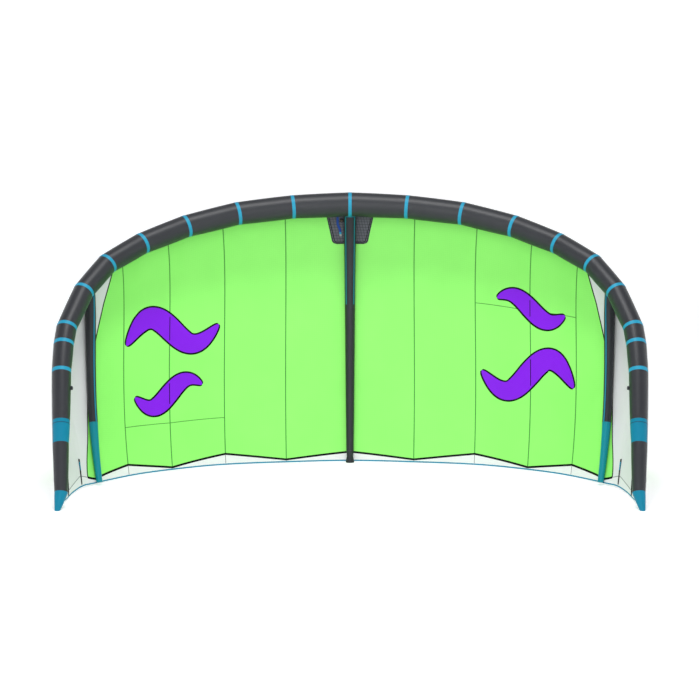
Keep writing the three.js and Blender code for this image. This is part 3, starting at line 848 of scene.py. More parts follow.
@dataclass
class LeadingEdge:
    """The inflated tube along the front, with a tape over each ring where its lengths are sewn."""

    sides: int = 48
    steps: int = 6
    fullness: float = 0.025
    band_ring: int = 10
    tape_half: float = 13.0
    tape_lift: float = 1.0
    tape_sink: float = -1.0
    last_tape: int = 9
    stitch_half: float = 3.0
    stitch_lift: float = 0.6
    stitch_share: float = 0.17
    headings: Points = field(init=False)
    outs: Points = field(init=False)
    centres: Points = field(init=False)
    radii: Points = field(init=False)

    def __post_init__(self) -> None:
        """Works out each length's direction, and one across it that never twists."""
        self.centres = np.array([column(LEADING_EDGE, axis) for axis in AXES], float).T
        self.radii = np.array(column(LEADING_EDGE, "radius"), float)
        self.headings = unit(np.diff(self.centres, axis=0))
        outs = [unit(np.cross([0.0, 0.0, 1.0], self.headings[0]))]
        for before, after in zip(self.headings[:-1], self.headings[1:]):
            axis = np.cross(before, after)
            out = outs[-1]
            cosine = float(np.dot(before, after))
            outs.append(out * cosine + np.cross(axis, out) + axis * np.dot(axis, out) / (1 + cosine))
        self.outs = np.array(outs)

    def facing(self, ring: int) -> Points:
        """The direction that the cut through the tube faces at a ring."""
        if ring == 0:
            return np.array([1.0, 0.0, 0.0])
        if ring == len(self.headings):
            return np.array([0.0, 0.0, -1.0])
        return unit(self.headings[ring - 1] + self.headings[ring])

    def share(self, length: int, distance: float) -> float:
        """A distance in millimetres as a share of one length."""
        return distance / float(np.linalg.norm(self.centres[length + 1] - self.centres[length]))

    def loop(self, length: int, share: float, growth: float = 0.0) -> Points:
        """A loop round one length, slanted like the cut that it is nearer to.

        Args:
            length: the length's number, from 0 in the middle.
            share: 0 at its start to 1 at its end.
            growth: millimetres added to the radius.

        Returns:
            The loop's points in the tables' millimetres.
        """
        along, out = self.headings[length], self.outs[length]
        radius = self.radii[length] + (self.radii[length + 1] - self.radii[length]) * share
        radius = radius * (1 + self.fullness * 4 * share * (1 - share)) + growth
        spoke = spokes(np.cross(out, along), out, self.sides) * radius
        facing = self.facing(length) * (1 - share) + self.facing(length + 1) * share
        slide = -(spoke @ facing) / float(np.dot(along, facing))
        centre = self.centres[length] + (self.centres[length + 1] - self.centres[length]) * share
        return centre + spoke + slide[:, None] * along

    def loops(self, first: int, last: int) -> Points:
        """The loops of a run of lengths on the right, from one ring to another."""
        made = [self.loop(first, 0.0)]
        for length in range(first, last):
            made += [self.loop(length, share) for share in np.linspace(0, 1, self.steps + 1)[1:]]
        return np.array(made)

    def nodes(self, side: Side, first: int, last: int) -> list[str]:
        """The plain solids of a run of lengths."""
        return [f"leading_edge_{side.word}_{number:02d}" for number in range(first + 1, last + 1)]

    def build(self) -> None:
        """Makes the sleeve, the wide bands, the tip lengths, the caps and the tapes."""
        right = self.loops(0, self.band_ring)
        left = right[:0:-1] * Side.LEFT.mirror
        loops = np.concatenate([left, right])
        replaced = self.nodes(Side.LEFT, 0, self.band_ring) + self.nodes(Side.RIGHT, 0, self.band_ring)
        add_skin("leading_edge_sleeve", loops, GREY_TUBE_CLOTH, "tube_cloth", replaced)
        ends = (
            ("wide_band", BLUE_TUBE_CLOTH, "wide_band_cloth"),
            ("tip_length", GREY_TUBE_CLOTH, "tube_cloth"),
            ("tip_cap", BLUE_TUBE_CLOTH, "wide_band_cloth"),
        )
        for side in Side:
            for first, (name, finish, slot) in enumerate(ends, self.band_ring):
                loops = self.loops(first, first + 1) * side.mirror
                replaced = self.nodes(side, first, first + 1)
                add_skin(f"{name}_{side.word}", loops, finish, slot, replaced)
            for ring in range(0 if side is Side.RIGHT else 1, self.last_tape + 1):
                self.tape(ring, side)
            self.band_stitches(side)

    def band_stitches(self, side: Side) -> None:
        """The row of stitches round the wide band, a little below its front seam.

        Args:
            side: the half that it is on.
        """
        half = self.share(self.band_ring, self.stitch_half)
        front, rear = self.stitch_share - half, self.stitch_share + half
        lift, sink = self.stitch_lift, self.tape_sink
        places = ((front, lift), (rear, lift), (rear, sink), (front, sink))
        loops = np.array([self.loop(self.band_ring, share, growth) for share, growth in places])
        name = f"band_stitches_{side.word}"
        add_skin(name, loops * side.mirror, DEEP_BLUE_STITCHES, "wide_band_cloth", looped=True)

    def tape(self, ring: int, side: Side) -> None:
        """The tape round the tube at one ring.

        Args:
            ring: the ring's number.
            side: the half that it is on.
        """
        lift, sink = self.tape_lift, self.tape_sink
        after = self.share(ring, self.tape_half)
        ahead = {growth: self.loop(ring, after, growth) for growth in (lift, sink)}
        if ring:
            before = 1 - self.share(ring - 1, self.tape_half)
            behind = {growth: self.loop(ring - 1, before, growth) for growth in (lift, sink)}
        else:
            behind = {growth: loop * Side.LEFT.mirror for growth, loop in ahead.items()}
        middle = self.loop(ring, 0.0, lift)
        loops = np.array([behind[lift], middle, ahead[lift], ahead[sink], behind[sink]])
        name = f"ring_tape_{side.word}_{ring}"
        add_skin(name, loops * side.mirror, CYAN_TAPE, "wide_band_cloth", looped=True)


@dataclass
class Strip:
    """A narrow strip that follows a line over the cloth, such as a seam, a tape or a batten.

    rings and runs are the line, widths one width or one for each of its points, all but the
    runs in millimetres. lift is the strip's distance from the cloth's face.
    """

    rings: Points
    runs: Points
    widths: Points | float
    thickness: float
    lift: float = 0.2
    outside: bool = False
    cloth: float = BAND_THICKNESS

    def add_to(self, piece: Piece) -> None:
        """Adds the strip to a piece, as a closed flat band on one face of the cloth.

        Args:
            piece: the piece.
        """
        base = self.cloth + self.lift if self.outside else -self.lift
        top = base + (self.thickness if self.outside else -self.thickness)
        centres = FORM.place(self.rings, self.runs, 0)
        normals = FORM.normal(self.rings, self.runs)
        headings = unit(np.gradient(centres, axis=0))
        half = np.broadcast_to(self.widths, centres.shape[:1])[:, None] / 2 * MILLIMETRE
        rows = [centres + normals * (depth * MILLIMETRE) for depth in (base, top)]
        piece.add_band(rows, unit(np.cross(normals, headings)) * half)


def add_strips(
    name: str, strips: Sequence[Strip], finish: Finish, slot: str, replaced: Sequence[str] = ()
) -> None:
    """Makes one piece of one or more strips.

    Args:
        name: the piece's name.
        strips: the strips.
        finish: what they are made of.
        slot: the record's material slot.
        replaced: the plain solids that the piece stands for.
    """
    piece = Piece(name)
    for strip in strips:
        strip.add_to(piece)
    piece.finish(finish, slot, replaced)


def line(places: Sequence[tuple[float, float]], parts: int) -> tuple[Points, Points]:
    """A fine line over the cloth through places.

    Args:
        places: ring and run of each corner.
        parts: how many steps each stretch gets.

    Returns:
        The rings and the runs.
    """
    rings, runs = np.array(places, float).T
    return finer(rings, parts), finer(runs, parts)


@dataclass(frozen=True)
class Cut:
    """A panel of the cloth: the rings that its lines run between, from front to rear."""

    name: str
    fronts: Points
    rears: Points
    finish: Finish
    slot: str
    rows: int = 64
    trim: float = 0.0004

    def grid(self, side: Side) -> tuple[Points, Points]:
        """The ring and run of each point of the panel, which ends at the band.

        Args:
            side: the half that the panel is on.

        Returns:
            Two grids with rows from front to rear.
        """
        row = np.linspace(0, 1, self.rows + 1)[:, None]
        fronts, rears = self.fronts.copy(), self.rears.copy()
        for lines in (fronts, rears):
            lines[0] += self.trim
            lines[-1] -= self.trim
        ring = fronts + (rears - fronts) * slant(row)
        return ring * side.value, FORM.band_run(ring) * row


@dataclass
class Canopy:
    """The cloth behind the tube: green main panels, pale tips, and a white band along the rear.

    Steps are in rings. The binding's profile gives the share of its width forward of the
    trailing edge, and millimetres outwards.
    """

    panel_step: float = 0.0625
    outer_step: float = 0.1
    edge_step: float = 0.07
    tip_parts: int = 4
    band_lines: int = 5
    binding_width: float = 10.0
    binding_gap: float = 0.7
    binding_profile: tuple[tuple[float, float], ...] = (
        (0.0, 0.4),
        (0.5, -0.3),
        (1.0, 0.3),
        (1.0, 1.9),
        (0.5, 2.6),
        (0.0, 1.8),
    )

    def cuts(self, side: Side) -> list[Cut]:
        """The panels of one half.

        Args:
            side: the half.

        Returns:
            The green panels from the middle out, then the tip panel.
        """
        stretches = zip(SEAM_RINGS[:-1], SEAM_RINGS[1:])
        lines = [(stepped(start, end, self.panel_step),) * 2 for start, end in stretches]
        rears = stepped(SEAM_RINGS[-1], TIP_REARS[0], self.outer_step)
        share = (rears - rears[0]) / (rears[-1] - rears[0])
        lines.append((SEAM_RINGS[-1] + (TIP_FRONTS[0] - SEAM_RINGS[-1]) * share, rears))
        made = [
            Cut(f"canopy_{side.word}_{number}", *pair, GREEN_RIPSTOP, "canopy_cloth")
            for number, pair in enumerate(lines, 1)
        ]
        fronts, rears = finer(TIP_FRONTS, self.tip_parts), finer(TIP_REARS, self.tip_parts)
        made.append(Cut(f"tip_panel_{side.word}", fronts, rears, PALE_RIPSTOP, "tip_cloth"))
        return made

    def build(self) -> None:
        """Makes every panel of both halves, then the band and the binding."""
        depths = (0, PANEL_THICKNESS)
        for side in Side:
            for cut in self.cuts(side):
                add_cloth(cut.name, cut.grid(side), depths, cut.finish, cut.slot)
            outer = len(SEAM_RINGS)
            self.band(side, "rear_band", 0, STRUT_RING, f"canopy_{side.word}_1_cloth")
            self.band(side, "tip_band", STRUT_RING, TIP_REARS[-1], f"canopy_{side.word}_{outer}_cloth")
            self.binding(side)

    def band(self, side: Side, name: str, start: float, end: float, sewn_to: str) -> None:
        """A stretch of the white band between the panels and the binding.

        Args:
            side: the half that it is on.
            name: the band's name.
            start: its first ring.
            end: its last ring.
            sewn_to: the panel that it carries on from; not used.
        """
        corners = [ring for ring in BAND_RINGS if start < ring < end]
        rings = np.unique(np.concatenate([stepped(start, end, self.edge_step), corners]))
        first, last = FORM.band_run(rings), FORM.run_at(rings, self.binding_width + self.binding_gap)
        run = first + (last - first) * np.linspace(0, 1, self.band_lines)[:, None]
        grid = (np.broadcast_to(rings * side.value, run.shape), run)
        depths = (0, BAND_THICKNESS)
        add_cloth(f"{name}_{side.word}", grid, depths, WHITE_RIPSTOP, "edge_cloth")

    def binding(self, side: Side) -> None:
        """The narrow tape folded over the trailing edge.

        Args:
            side: the half that it is on.
        """
        end = TRAILING_EDGE[-1].ring
        rings = np.unique(np.concatenate([stepped(0, end, self.edge_step), BAND_RINGS]))
        _, _, third, rear = FORM.guides(rings)
        forward = unit(third - rear)
        out = unit(np.cross(forward, FORM.heading(FORM.edge, rings)))
        profile = [(share * self.binding_width, depth) for share, depth in self.binding_profile]
        loops = np.stack([rear + forward * reach + out * depth for reach, depth in profile], axis=1)
        name = f"rear_binding_{side.word}"
        add_skin(f"{name}_tape", loops * side.mirror, BLUE_TAPE, "binding_tape", [name])


# The seam across the panels on each half: ring and run of its corners
CROSS_SEAMS = {
    Side.LEFT: ((2.25, 0.853), (3.33, 0.848), (4.43, 0.833)),
    Side.RIGHT: ((2.25, 0.43), (3.33, 0.419), (4.43, 0.38)),
}


@dataclass
class Seams:
    """The lines of sewing: felled panel seams, the dark zigzag tape, and the seams of the tips.

    Steps are in rings, and parts are the steps of one straight stretch.
    """

    felled_width: float = 8.0
    zigzag_width: float = 15.0
    slanted_width: float = 9.0
    fine_width: float = 5.0
    thickness: float = 0.6
    lift: float = 0.1
    tape_lift: float = 0.5
    felled_start: float = 0.03
    slanted_start: float = 0.015
    above_edge: float = 12.0
    felled_parts: int = 59
    band_parts: int = 4
    cross_parts: int = 20
    slanted_points: int = 70
    zigzag_step: float = 0.05
    tip_step: float = 0.07

    def build(self) -> None:
        """Makes the seams of both halves, on both faces of the cloth."""
        for side in Side:
            for outside in (False, True):
                face = f"{side.word}_{'outer' if outside else 'inner'}"
                self.panel_seams(side, outside, face)
                self.edge_seams(side, outside, face)

    def seam(
        self,
        side: Side,
        places: tuple[Points, Points],
        width: float,
        outside: bool,
        cloth: float = BAND_THICKNESS,
    ) -> Strip:
        """A flat strip of sewing.

        Args:
            side: the half that it is on.
            places: its rings and runs on the right half.
            width: its width in millimetres.
            outside: True for the face away from the hollow side.
            cloth: the thickness of the cloth that it lies on.

        Returns:
            The strip.
        """
        rings, runs = places
        return Strip(rings * side.value, runs, width, self.thickness, self.lift, outside, cloth)

    def panel_seams(self, side: Side, outside: bool, face: str) -> None:
        """The seams between green panels, and the seam across them.

        The middle seam lies behind the centre strut, so it is sewn over on the outer face only.

        Args:
            side: the half.
            outside: True for the face away from the hollow side.
            face: the half and face in piece names.
        """
        green, white = [], []
        middle_shows = outside and side is Side.RIGHT
        for ring in SEAM_RINGS[0 if middle_shows else 1 :]:
            band = float(FORM.band_run(np.array(ring)))
            rear = float(FORM.run_at(np.array(ring), self.above_edge))
            long = line(((ring, self.felled_start), (ring, band)), self.felled_parts)
            short = line(((ring, band), (ring, rear)), self.band_parts)
            green.append(self.seam(side, long, self.felled_width, outside, PANEL_THICKNESS))
            white.append(self.seam(side, short, self.fine_width, outside))
        cross = line(CROSS_SEAMS[side], self.cross_parts)
        green.append(self.seam(side, cross, self.fine_width, outside, PANEL_THICKNESS))
        add_strips(f"panel_seams_{face}", green, GREEN_SEAM, "canopy_cloth")
        add_strips(f"band_seams_{face}", white, GREY_SEAM, "edge_cloth")

    def edge_seams(self, side: Side, outside: bool, face: str) -> None:
        """The dark tape along the zigzag and up the slanted tip seam, and the fine tip seams.

        Args:
            side: the half.
            outside: True for the face away from the hollow side.
            face: the half and face in piece names.
        """
        middle = TIP_REARS[0]
        corners = np.array(BAND_RINGS)
        inner = np.concatenate([stepped(0.0, middle, self.zigzag_step), corners[corners <= middle]])
        outer = np.concatenate([stepped(middle, TIP_REARS[-1], self.tip_step), corners[corners > middle]])
        zigzag, fine = np.unique(inner), np.unique(outer)
        rows = np.linspace(self.slanted_start, 1, self.slanted_points)
        slanted = SLANT(rows)
        lines = (
            (zigzag, FORM.band_run(zigzag), self.zigzag_width),
            (slanted, rows * FORM.band_run(slanted), self.slanted_width),
        )
        dark = [
            Strip(rings * side.value, runs, width, self.thickness, self.tape_lift, outside)
            for rings, runs, width in lines
        ]
        add_strips(f"dark_tape_{face}", dark, BLACK_TAPE, "batten_pocket")
        seam = self.seam(side, (fine, FORM.band_run(fine)), self.fine_width, outside)
        add_strips(f"tip_seams_{face}", [seam], GREY_SEAM, "tip_cloth")


@dataclass(frozen=True)
class Ribbon:
    """A coloured shape let into the cloth: a wavy ribbon that narrows to both ends.

    It runs from one ring to another at a run in the middle of the chord, swinging to both sides
    of it. half is its half width in millimetres where it is widest, and blunt how bluntly it ends.
    """

    start: float
    end: float
    run: float
    swing: float
    turns: float
    half: float
    phase: float = 0.0
    blunt: float = 0.6

    def line(self, points: int = 90) -> tuple[Points, Points, Points]:
        """The ribbon's middle line and its half width along it."""
        along = np.linspace(0, 1, points)
        rings = self.start + (self.end - self.start) * along
        runs = self.run + self.swing * np.sin(2 * np.pi * (self.turns * along + self.phase))
        widths = self.half * np.sin(np.pi * along) ** self.blunt
        return rings, runs, widths


@dataclass
class Inlays:
    """Plain wavy ribbons of violet cloth with black outlines, one pair on each half."""

    outline: float = 14.0
    overlap: float = 1.0
    seam_width: float = 6.0
    seam_parts: int = 11
    thickness: float = 0.3
    clearance: float = 0.1
    face_lift: float = 0.8
    columns: int = 10
    long: Ribbon = Ribbon(2.36, 4.36, 0.5, 0.075, 1.0, 88.0, 0.03)
    short: Ribbon = Ribbon(2.66, 4.14, 0.745, 0.04, 1.0, 66.0, 0.55)
    right_runs: tuple[float, float] = (0.675, 0.405)

    def ribbons(self, side: Side) -> tuple[Ribbon, Ribbon]:
        """One half's ribbons: the long one is in front on the left, and behind on the right."""
        if side is Side.LEFT:
            return self.long, self.short
        behind, ahead = self.right_runs
        return replace(self.long, run=behind), replace(self.short, run=ahead)

    def lay(
        self, piece: Piece, rings: Points, runs: Points, half: Points, lift: float, outside: bool
    ) -> None:
        """Adds a band that lies on the cloth right across its width.

        Args:
            piece: the piece.
            rings: the middle line's ring numbers.
            runs: the middle line's runs.
            half: the band's half width at each point in millimetres.
            lift: its distance from the cloth's face in millimetres.
            outside: True for the face away from the hollow side.
        """
        places = [FORM.beside(rings, runs, half * share) for share in np.linspace(-1, 1, self.columns + 1)]
        ring, run = (np.stack(values, axis=1) for values in zip(*places))
        near = PANEL_THICKNESS + lift if outside else -lift
        far = near + self.thickness if outside else near - self.thickness
        piece.add_sheet(FORM.place(ring, run, near), FORM.place(ring, run, far))

    def build(self) -> None:
        """Makes the ribbons of both halves on both faces."""
        for side in Side:
            for number, ribbon in enumerate(self.ribbons(side), 1):
                for outside in (False, True):
                    face = "outer" if outside else "inner"
                    self.ribbon(f"{side.word}_{number}_{face}", side, ribbon, outside)

    def ribbon(self, name: str, side: Side, ribbon: Ribbon, outside: bool) -> None:
        """One ribbon on one face, with the dark lines of the panel seams that run through it.

        Args:
            name: the ribbon's number, half and face in piece names.
            side: the half that it is on.
            ribbon: its shape.
            outside: True for the face away from the hollow side.
        """
        rings, runs, half = ribbon.line()
        black, violet = Piece(f"ribbon_edge_{name}"), Piece(f"ribbon_{name}")
        place = (rings * side.value, runs)
        layer = self.thickness + self.clearance
        self.lay(black, *place, half + self.outline, self.face_lift, outside)
        self.lay(violet, *place, half + self.overlap, self.face_lift + layer, outside)
        lift = self.face_lift + 2 * layer
        shares = half / FORM.chord(rings)
        for seam in SEAM_RINGS:
            if ribbon.start < seam < ribbon.end:
                middle, reach = (float(np.interp(seam, rings, values)) for values in (runs, shares))
                ring = seam * side.value
                stretch = line(((ring, middle - reach), (ring, middle + reach)), self.seam_parts)
                sewn = Strip(*stretch, self.seam_width, self.thickness, lift, outside, PANEL_THICKNESS)
                sewn.add_to(black)
        black.finish(BLACK_TAPE, "canopy_cloth")
        violet.finish(VIOLET_RIPSTOP, "canopy_cloth")


@dataclass
class Strut:
    """An inflated strut sewn to the hollow side of the cloth, with piping along it.

    piping_depths are the millimetres outwards from the skin to the piping's two faces.
    """

    ring: float
    run_rows: tuple[float, ...]
    radii: tuple[float, ...]
    sides: int = 40
    steps: int = 40
    gap: float = 0.8
    piping_depths: tuple[float, float] = (-0.5, 1.2)
    piping_points: int = 40
    collar_points: int = 13

    def frame_at(self, runs: Points) -> tuple[Points, Points, Points, Points]:
        """The strut's middle line, its radii and two directions across it.

        Args:
            runs: places along the strut.

        Returns:
            Centres in millimetres, radii, outward directions and sideways directions.
        """
        radii = np.interp(runs, self.run_rows, self.radii)[:, None]
        rings = np.full_like(runs, self.ring)
        out = FORM.normal(rings, runs)
        _, rearward = FORM.slopes(rings, runs)
        centres = FORM.bare_cloth(rings, runs) - out * (radii + self.gap)
        return centres, radii, out, np.cross(unit(rearward), out)

    def loops(self) -> Points:
        """The strut's loops from front to rear, in the tables' millimetres."""
        runs = np.linspace(self.run_rows[0], self.run_rows[-1], self.steps + 1)
        centres, radii, out, across = self.frame_at(runs)
        return centres[:, None] + spokes(across, out, self.sides) * radii[:, None]

    def piping(self, piece: Piece, angle: float, start: float, end: float, width: float) -> None:
        """Adds a flat strip along the strut's skin to a piece.

        Args:
            piece: the piece.
            angle: degrees round the strut from the side that faces away from the cloth.
            start: the run that it starts at.
            end: the run that it ends at.
            width: its width in millimetres.
        """
        centres, radii, out, across = self.frame_at(np.linspace(start, end, self.piping_points))
        turned = math.radians(angle)
        spoke = across * math.sin(turned) - out * math.cos(turned)
        beside = (across * math.cos(turned) + out * math.sin(turned)) * width / 2
        rows = [to_row(centres + spoke * (radii + depth)) for depth in self.piping_depths]
        piece.add_band(rows, beside * MILLIMETRE)

    def collar(self, piece: Piece, angle: float, run: float, width: float) -> None:
        """Adds a flat strip across the strut, from one line of piping to the other, to a piece.

        Args:
            piece: the piece.
            angle: degrees from the middle of the strip to each end.
            run: the run of the strip's middle.
            width: its width in millimetres.
        """
        half = width / 2 / float(FORM.chord(np.array(self.ring)))
        centres, radii, out, across = (
            row[:, None] for row in self.frame_at(np.array([run - half, run + half]))
        )
        turn = np.radians(np.linspace(-angle, angle, self.collar_points))[None, :, None]
        way = across * np.sin(turn) - out * np.cos(turn)
        piece.add_sheet(*(to_row(centres + way * (radii + depth)) for depth in self.piping_depths))


@dataclass
class Struts:
    """The three struts, the centre one's flared end, and the piping on them."""

    centre_rows: tuple[float, ...] = (0.02, 0.85, 0.972)
    centre_radii: tuple[float, ...] = (49.5, 32.0, 28.0)
    side_rows: tuple[float, ...] = (0.02, 0.25, 0.77, 1.0)
    side_radii: tuple[float, ...] = (42.7, 39.5, 31.0, 21.5)
    split_gap: float = 0.0003
    rear_steps: int = 12
    foot_radius: float = 33.0
    foot_back: float = -144.0
    foot_runs: tuple[float, ...] = (0.9722, 0.982, 0.988, 0.9975)
    foot_radii: tuple[float, ...] = (28.0, 25.3, 24.5, 30.0)
    sole: float = 2.0
    sole_inset: float = 1.0
    piping_width: float = 9.0
    piping_angle: float = 46.0
    piping_end: float = 0.475
    side_piping_angle: float = 5.0
    side_piping_start: float = 0.06
    collar_run: float = 0.068

    def build(self) -> None:
        """Makes the struts, the foot and the piping."""
        centre = Strut(0.0, self.centre_rows, self.centre_radii)
        name = "strut_centre"
        add_skin(f"{name}_sleeve", centre.loops(), DARK_TUBE_CLOTH, "strut_cloth", [name])
        piping = Piece("strut_centre_piping")
        for angle in (-self.piping_angle, self.piping_angle):
            centre.piping(piping, angle, self.collar_run, self.piping_end, self.piping_width)
        centre.collar(piping, self.piping_angle, self.collar_run, self.piping_width)
        piping.finish(TEAL_PIPING, "strut_cloth")
        self.foot(centre)
        for side in Side:
            self.side_strut(side)

    def side_strut(self, side: Side) -> None:
        """A strut between the middle and a tip: dark in front, teal at the rear.

        Args:
            side: the half that it is on.
        """
        ring = STRUT_RING * side.value
        split, end = self.side_rows[2:]
        whole = Strut(ring, self.side_rows, self.side_radii)
        front = Strut(ring, self.side_rows[:3], self.side_radii[:3])
        rear = Strut(ring, (split + self.split_gap, end), self.side_radii[2:], steps=self.rear_steps)
        for word, strut, finish, slot in (
            ("front", front, DARK_TUBE_CLOTH, "strut_cloth"),
            ("rear", rear, TEAL_TUBE_CLOTH, "strut_rear_cloth"),
        ):
            name = f"strut_{side.word}_{word}"
            add_skin(f"{name}_sleeve", strut.loops(), finish, slot, [name])
        piping = Piece(f"strut_{side.word}_piping")
        angle = self.side_piping_angle * side.value
        whole.piping(piping, angle, self.side_piping_start, split, self.piping_width)
        piping.finish(BLUE_TAPE, "strut_cloth")

    def foot(self, strut: Strut) -> None:
        """The centre strut's end: a waist above a flared foot with a flat sole.

        Args:
            strut: the centre strut, which the foot carries on.
        """
        lower = Strut(0.0, self.foot_runs, self.foot_radii, strut.sides)
        centres, radius, out, across = lower.frame_at(np.array(self.foot_runs))
        loops = list(centres[:, None] + spokes(across, out, strut.sides) * radius[:, None])
        level = spokes(across[-1], np.array([0.0, 1.0, 0.0]), strut.sides)
        centre = np.array([0.0, self.foot_back, 0.0])
        for height, reach in ((self.sole, self.foot_radius), (0.0, self.foot_radius - self.sole_inset)):
            loops.append(centre + level * reach + np.array([0.0, 0.0, height]))
        name, replaced = "strut_centre_foot", ["strut_centre_end"]
        add_skin(name, np.array(loops), DARK_TUBE_CLOTH, "strut_cloth", replaced)


@dataclass
class Patch:
    """The grey reinforcement behind the centre strut, with the valve and its strap on it.

    The valve's profiles give shares of its radius and of its height.
    """

    half_front: float = 190.0
    half_rear: float = 131.0
    start: float = 0.035
    end: float = 0.21
    corner: float = 32.0
    row_crowding: float = 0.7
    lift: float = 1.3
    thickness: float = 1.5
    border_insets: tuple[float, float] = (5.0, 17.0)
    border_width: float = 5.0
    stitch_thickness: float = 0.5
    stitch_gap: float = 0.05
    gap: float = 0.3
    valve_across: float = -63.0
    valve_run: float = 0.098
    valve_radius: float = 16.0
    valve_height: float = 12.0
    valve_sides: int = 32
    flange: tuple[tuple[float, float], ...] = ((1.0, 0.0), (1.0, 0.2), (0.86, 0.3))
    rim: tuple[tuple[float, float], ...] = ((0.8, 0.9), (0.7, 1.0), (0.6, 0.9), (0.58, 0.55))
    stopper: tuple[tuple[float, float], ...] = ((0.55, 0.56), (0.55, 0.8), (0.45, 0.86), (0.15, 0.88))
    strap_half: float = 8.5
    strap_thickness: float = 2.5
    strap_rows: tuple[tuple[float, float], ...] = ((-93, 0.065), (-93, 0.114), (-76, 0.142), (-70, 0.173))
    strap_parts: int = 10
    strap_points: int = 30
    keeper: tuple[float, float] = (0.8, 0.9)
    ring_span: float = LEADING_EDGE[1].across

    def outline(self, inset: float, rows: int = 24, columns: int = 32) -> tuple[Points, Points]:
        """The patch's grid of rings and runs, with its rear corners rounded.

        Args:
            inset: millimetres that the grid lies inside the patch's edge.
            rows: rows of the grid.
            columns: columns of the grid.

        Returns:
            Two grids with rows from front to rear.
        """
        size = float(FORM.chord(np.array(0.0)))
        start, end = self.start + inset / size, self.end - inset / size
        reach = (end - start) * size
        along = np.linspace(0, 1, rows + 1) ** self.row_crowding * reach
        half = self.half_front + (self.half_rear - self.half_front) * along / reach - inset
        corner = max(self.corner - inset, 1.0)
        into = np.clip(along - (reach - corner), 0, corner)
        half = half - (corner - np.sqrt(corner**2 - into**2))
        across = np.linspace(-1, 1, columns + 1) * half[:, None]
        runs = np.broadcast_to((start + along / size)[:, None], across.shape)
        return across / self.ring_span, runs

    def build(self) -> None:
        """Makes the patch, its double border, the valve and the strap."""
        depths = (-self.lift - self.thickness, -self.lift)
        add_cloth("centre_patch", self.outline(0), depths, GREY_RIPSTOP, "patch_cloth")
        borders = [self.border(inset) for inset in self.border_insets]
        add_strips("centre_patch_stitching", borders, BLACK_TAPE, "patch_cloth")
        self.valve()
        self.strap()

    def border(self, inset: float) -> Strip:
        """A row of dark stitching round the patch's sides and rear.

        Args:
            inset: its distance from the patch's edge in millimetres.

        Returns:
            The row.
        """
        grids = self.outline(inset)
        rings, runs = (np.concatenate([grid[:-1, 0], grid[-1, :], grid[-2::-1, -1]]) for grid in grids)
        lift = self.lift + self.thickness + self.stitch_gap
        return Strip(rings, runs, self.border_width, self.stitch_thickness, lift)

    def valve(self) -> None:
        """The round valve: a flange, a raised rim and a stopper in its middle."""
        ring, run = np.array(self.valve_across / self.ring_span), np.array(self.valve_run)
        centre = FORM.place(ring, run, -self.lift - self.thickness - self.gap)
        out = -FORM.normal(ring, run)
        across = unit(np.cross(out, [0.0, 0.0, 1.0]))
        wide = spokes(np.cross(out, across), across, self.valve_sides) * self.valve_radius * MILLIMETRE
        high = out * self.valve_height * MILLIMETRE
        for name, profile, finish, replaced in (
            ("valve_body", self.flange + self.rim, VALVE_PLASTIC, ["inflation_valve"]),
            ("valve_stopper", self.stopper, VALVE_CAP, []),
        ):
            piece = Piece(name)
            piece.add_loft(np.array([centre + wide * reach + high * height for reach, height in profile]))
            piece.finish(finish, "valve_plastic", replaced)

    def strap(self) -> None:
        """The strap beside the valve: blue webbing with a cyan keeper and a pale sealed tip."""
        places = line([(across / self.ring_span, run) for across, run in self.strap_rows], self.strap_parts)
        share = np.linspace(0, 1, len(places[0]))
        lift = self.lift + self.thickness + self.gap
        keeper_start, keeper_end = self.keeper
        for name, start, end, finish, replaced in (
            ("valve_strap_webbing", 0.0, keeper_start, BLUE_WEBBING, ["valve_strap"]),
            ("valve_strap_keeper", keeper_start, keeper_end, CYAN_TAPE, []),
            ("valve_strap_tip", keeper_end, 1.0, PALE_WEBBING, []),
        ):
            stretch = np.linspace(start, end, self.strap_points)
            rings, runs = (np.interp(stretch, share, values) for values in places)
            strip = Strip(rings, runs, 2 * self.strap_half, self.strap_thickness, lift)
            add_strips(name, [strip], finish, "webbing", replaced)


@dataclass(frozen=True)
class Pocket:
    """A batten's route in the left or right tip, and the stretch of it with a blue cover."""

    name: str
    start: tuple[float, float]
    end: tuple[float, float]
    widths: tuple[float, float]
    cover: tuple[float, float] | None = None


POCKETS = (
    Pocket("batten", (7.9, 0.86), (8.95, 0.985), (14, 8), (0.08, 0.42)),
    Pocket("edge_batten", (10.3, 0.8), (11.15, 0.975), (10, 8)),
)


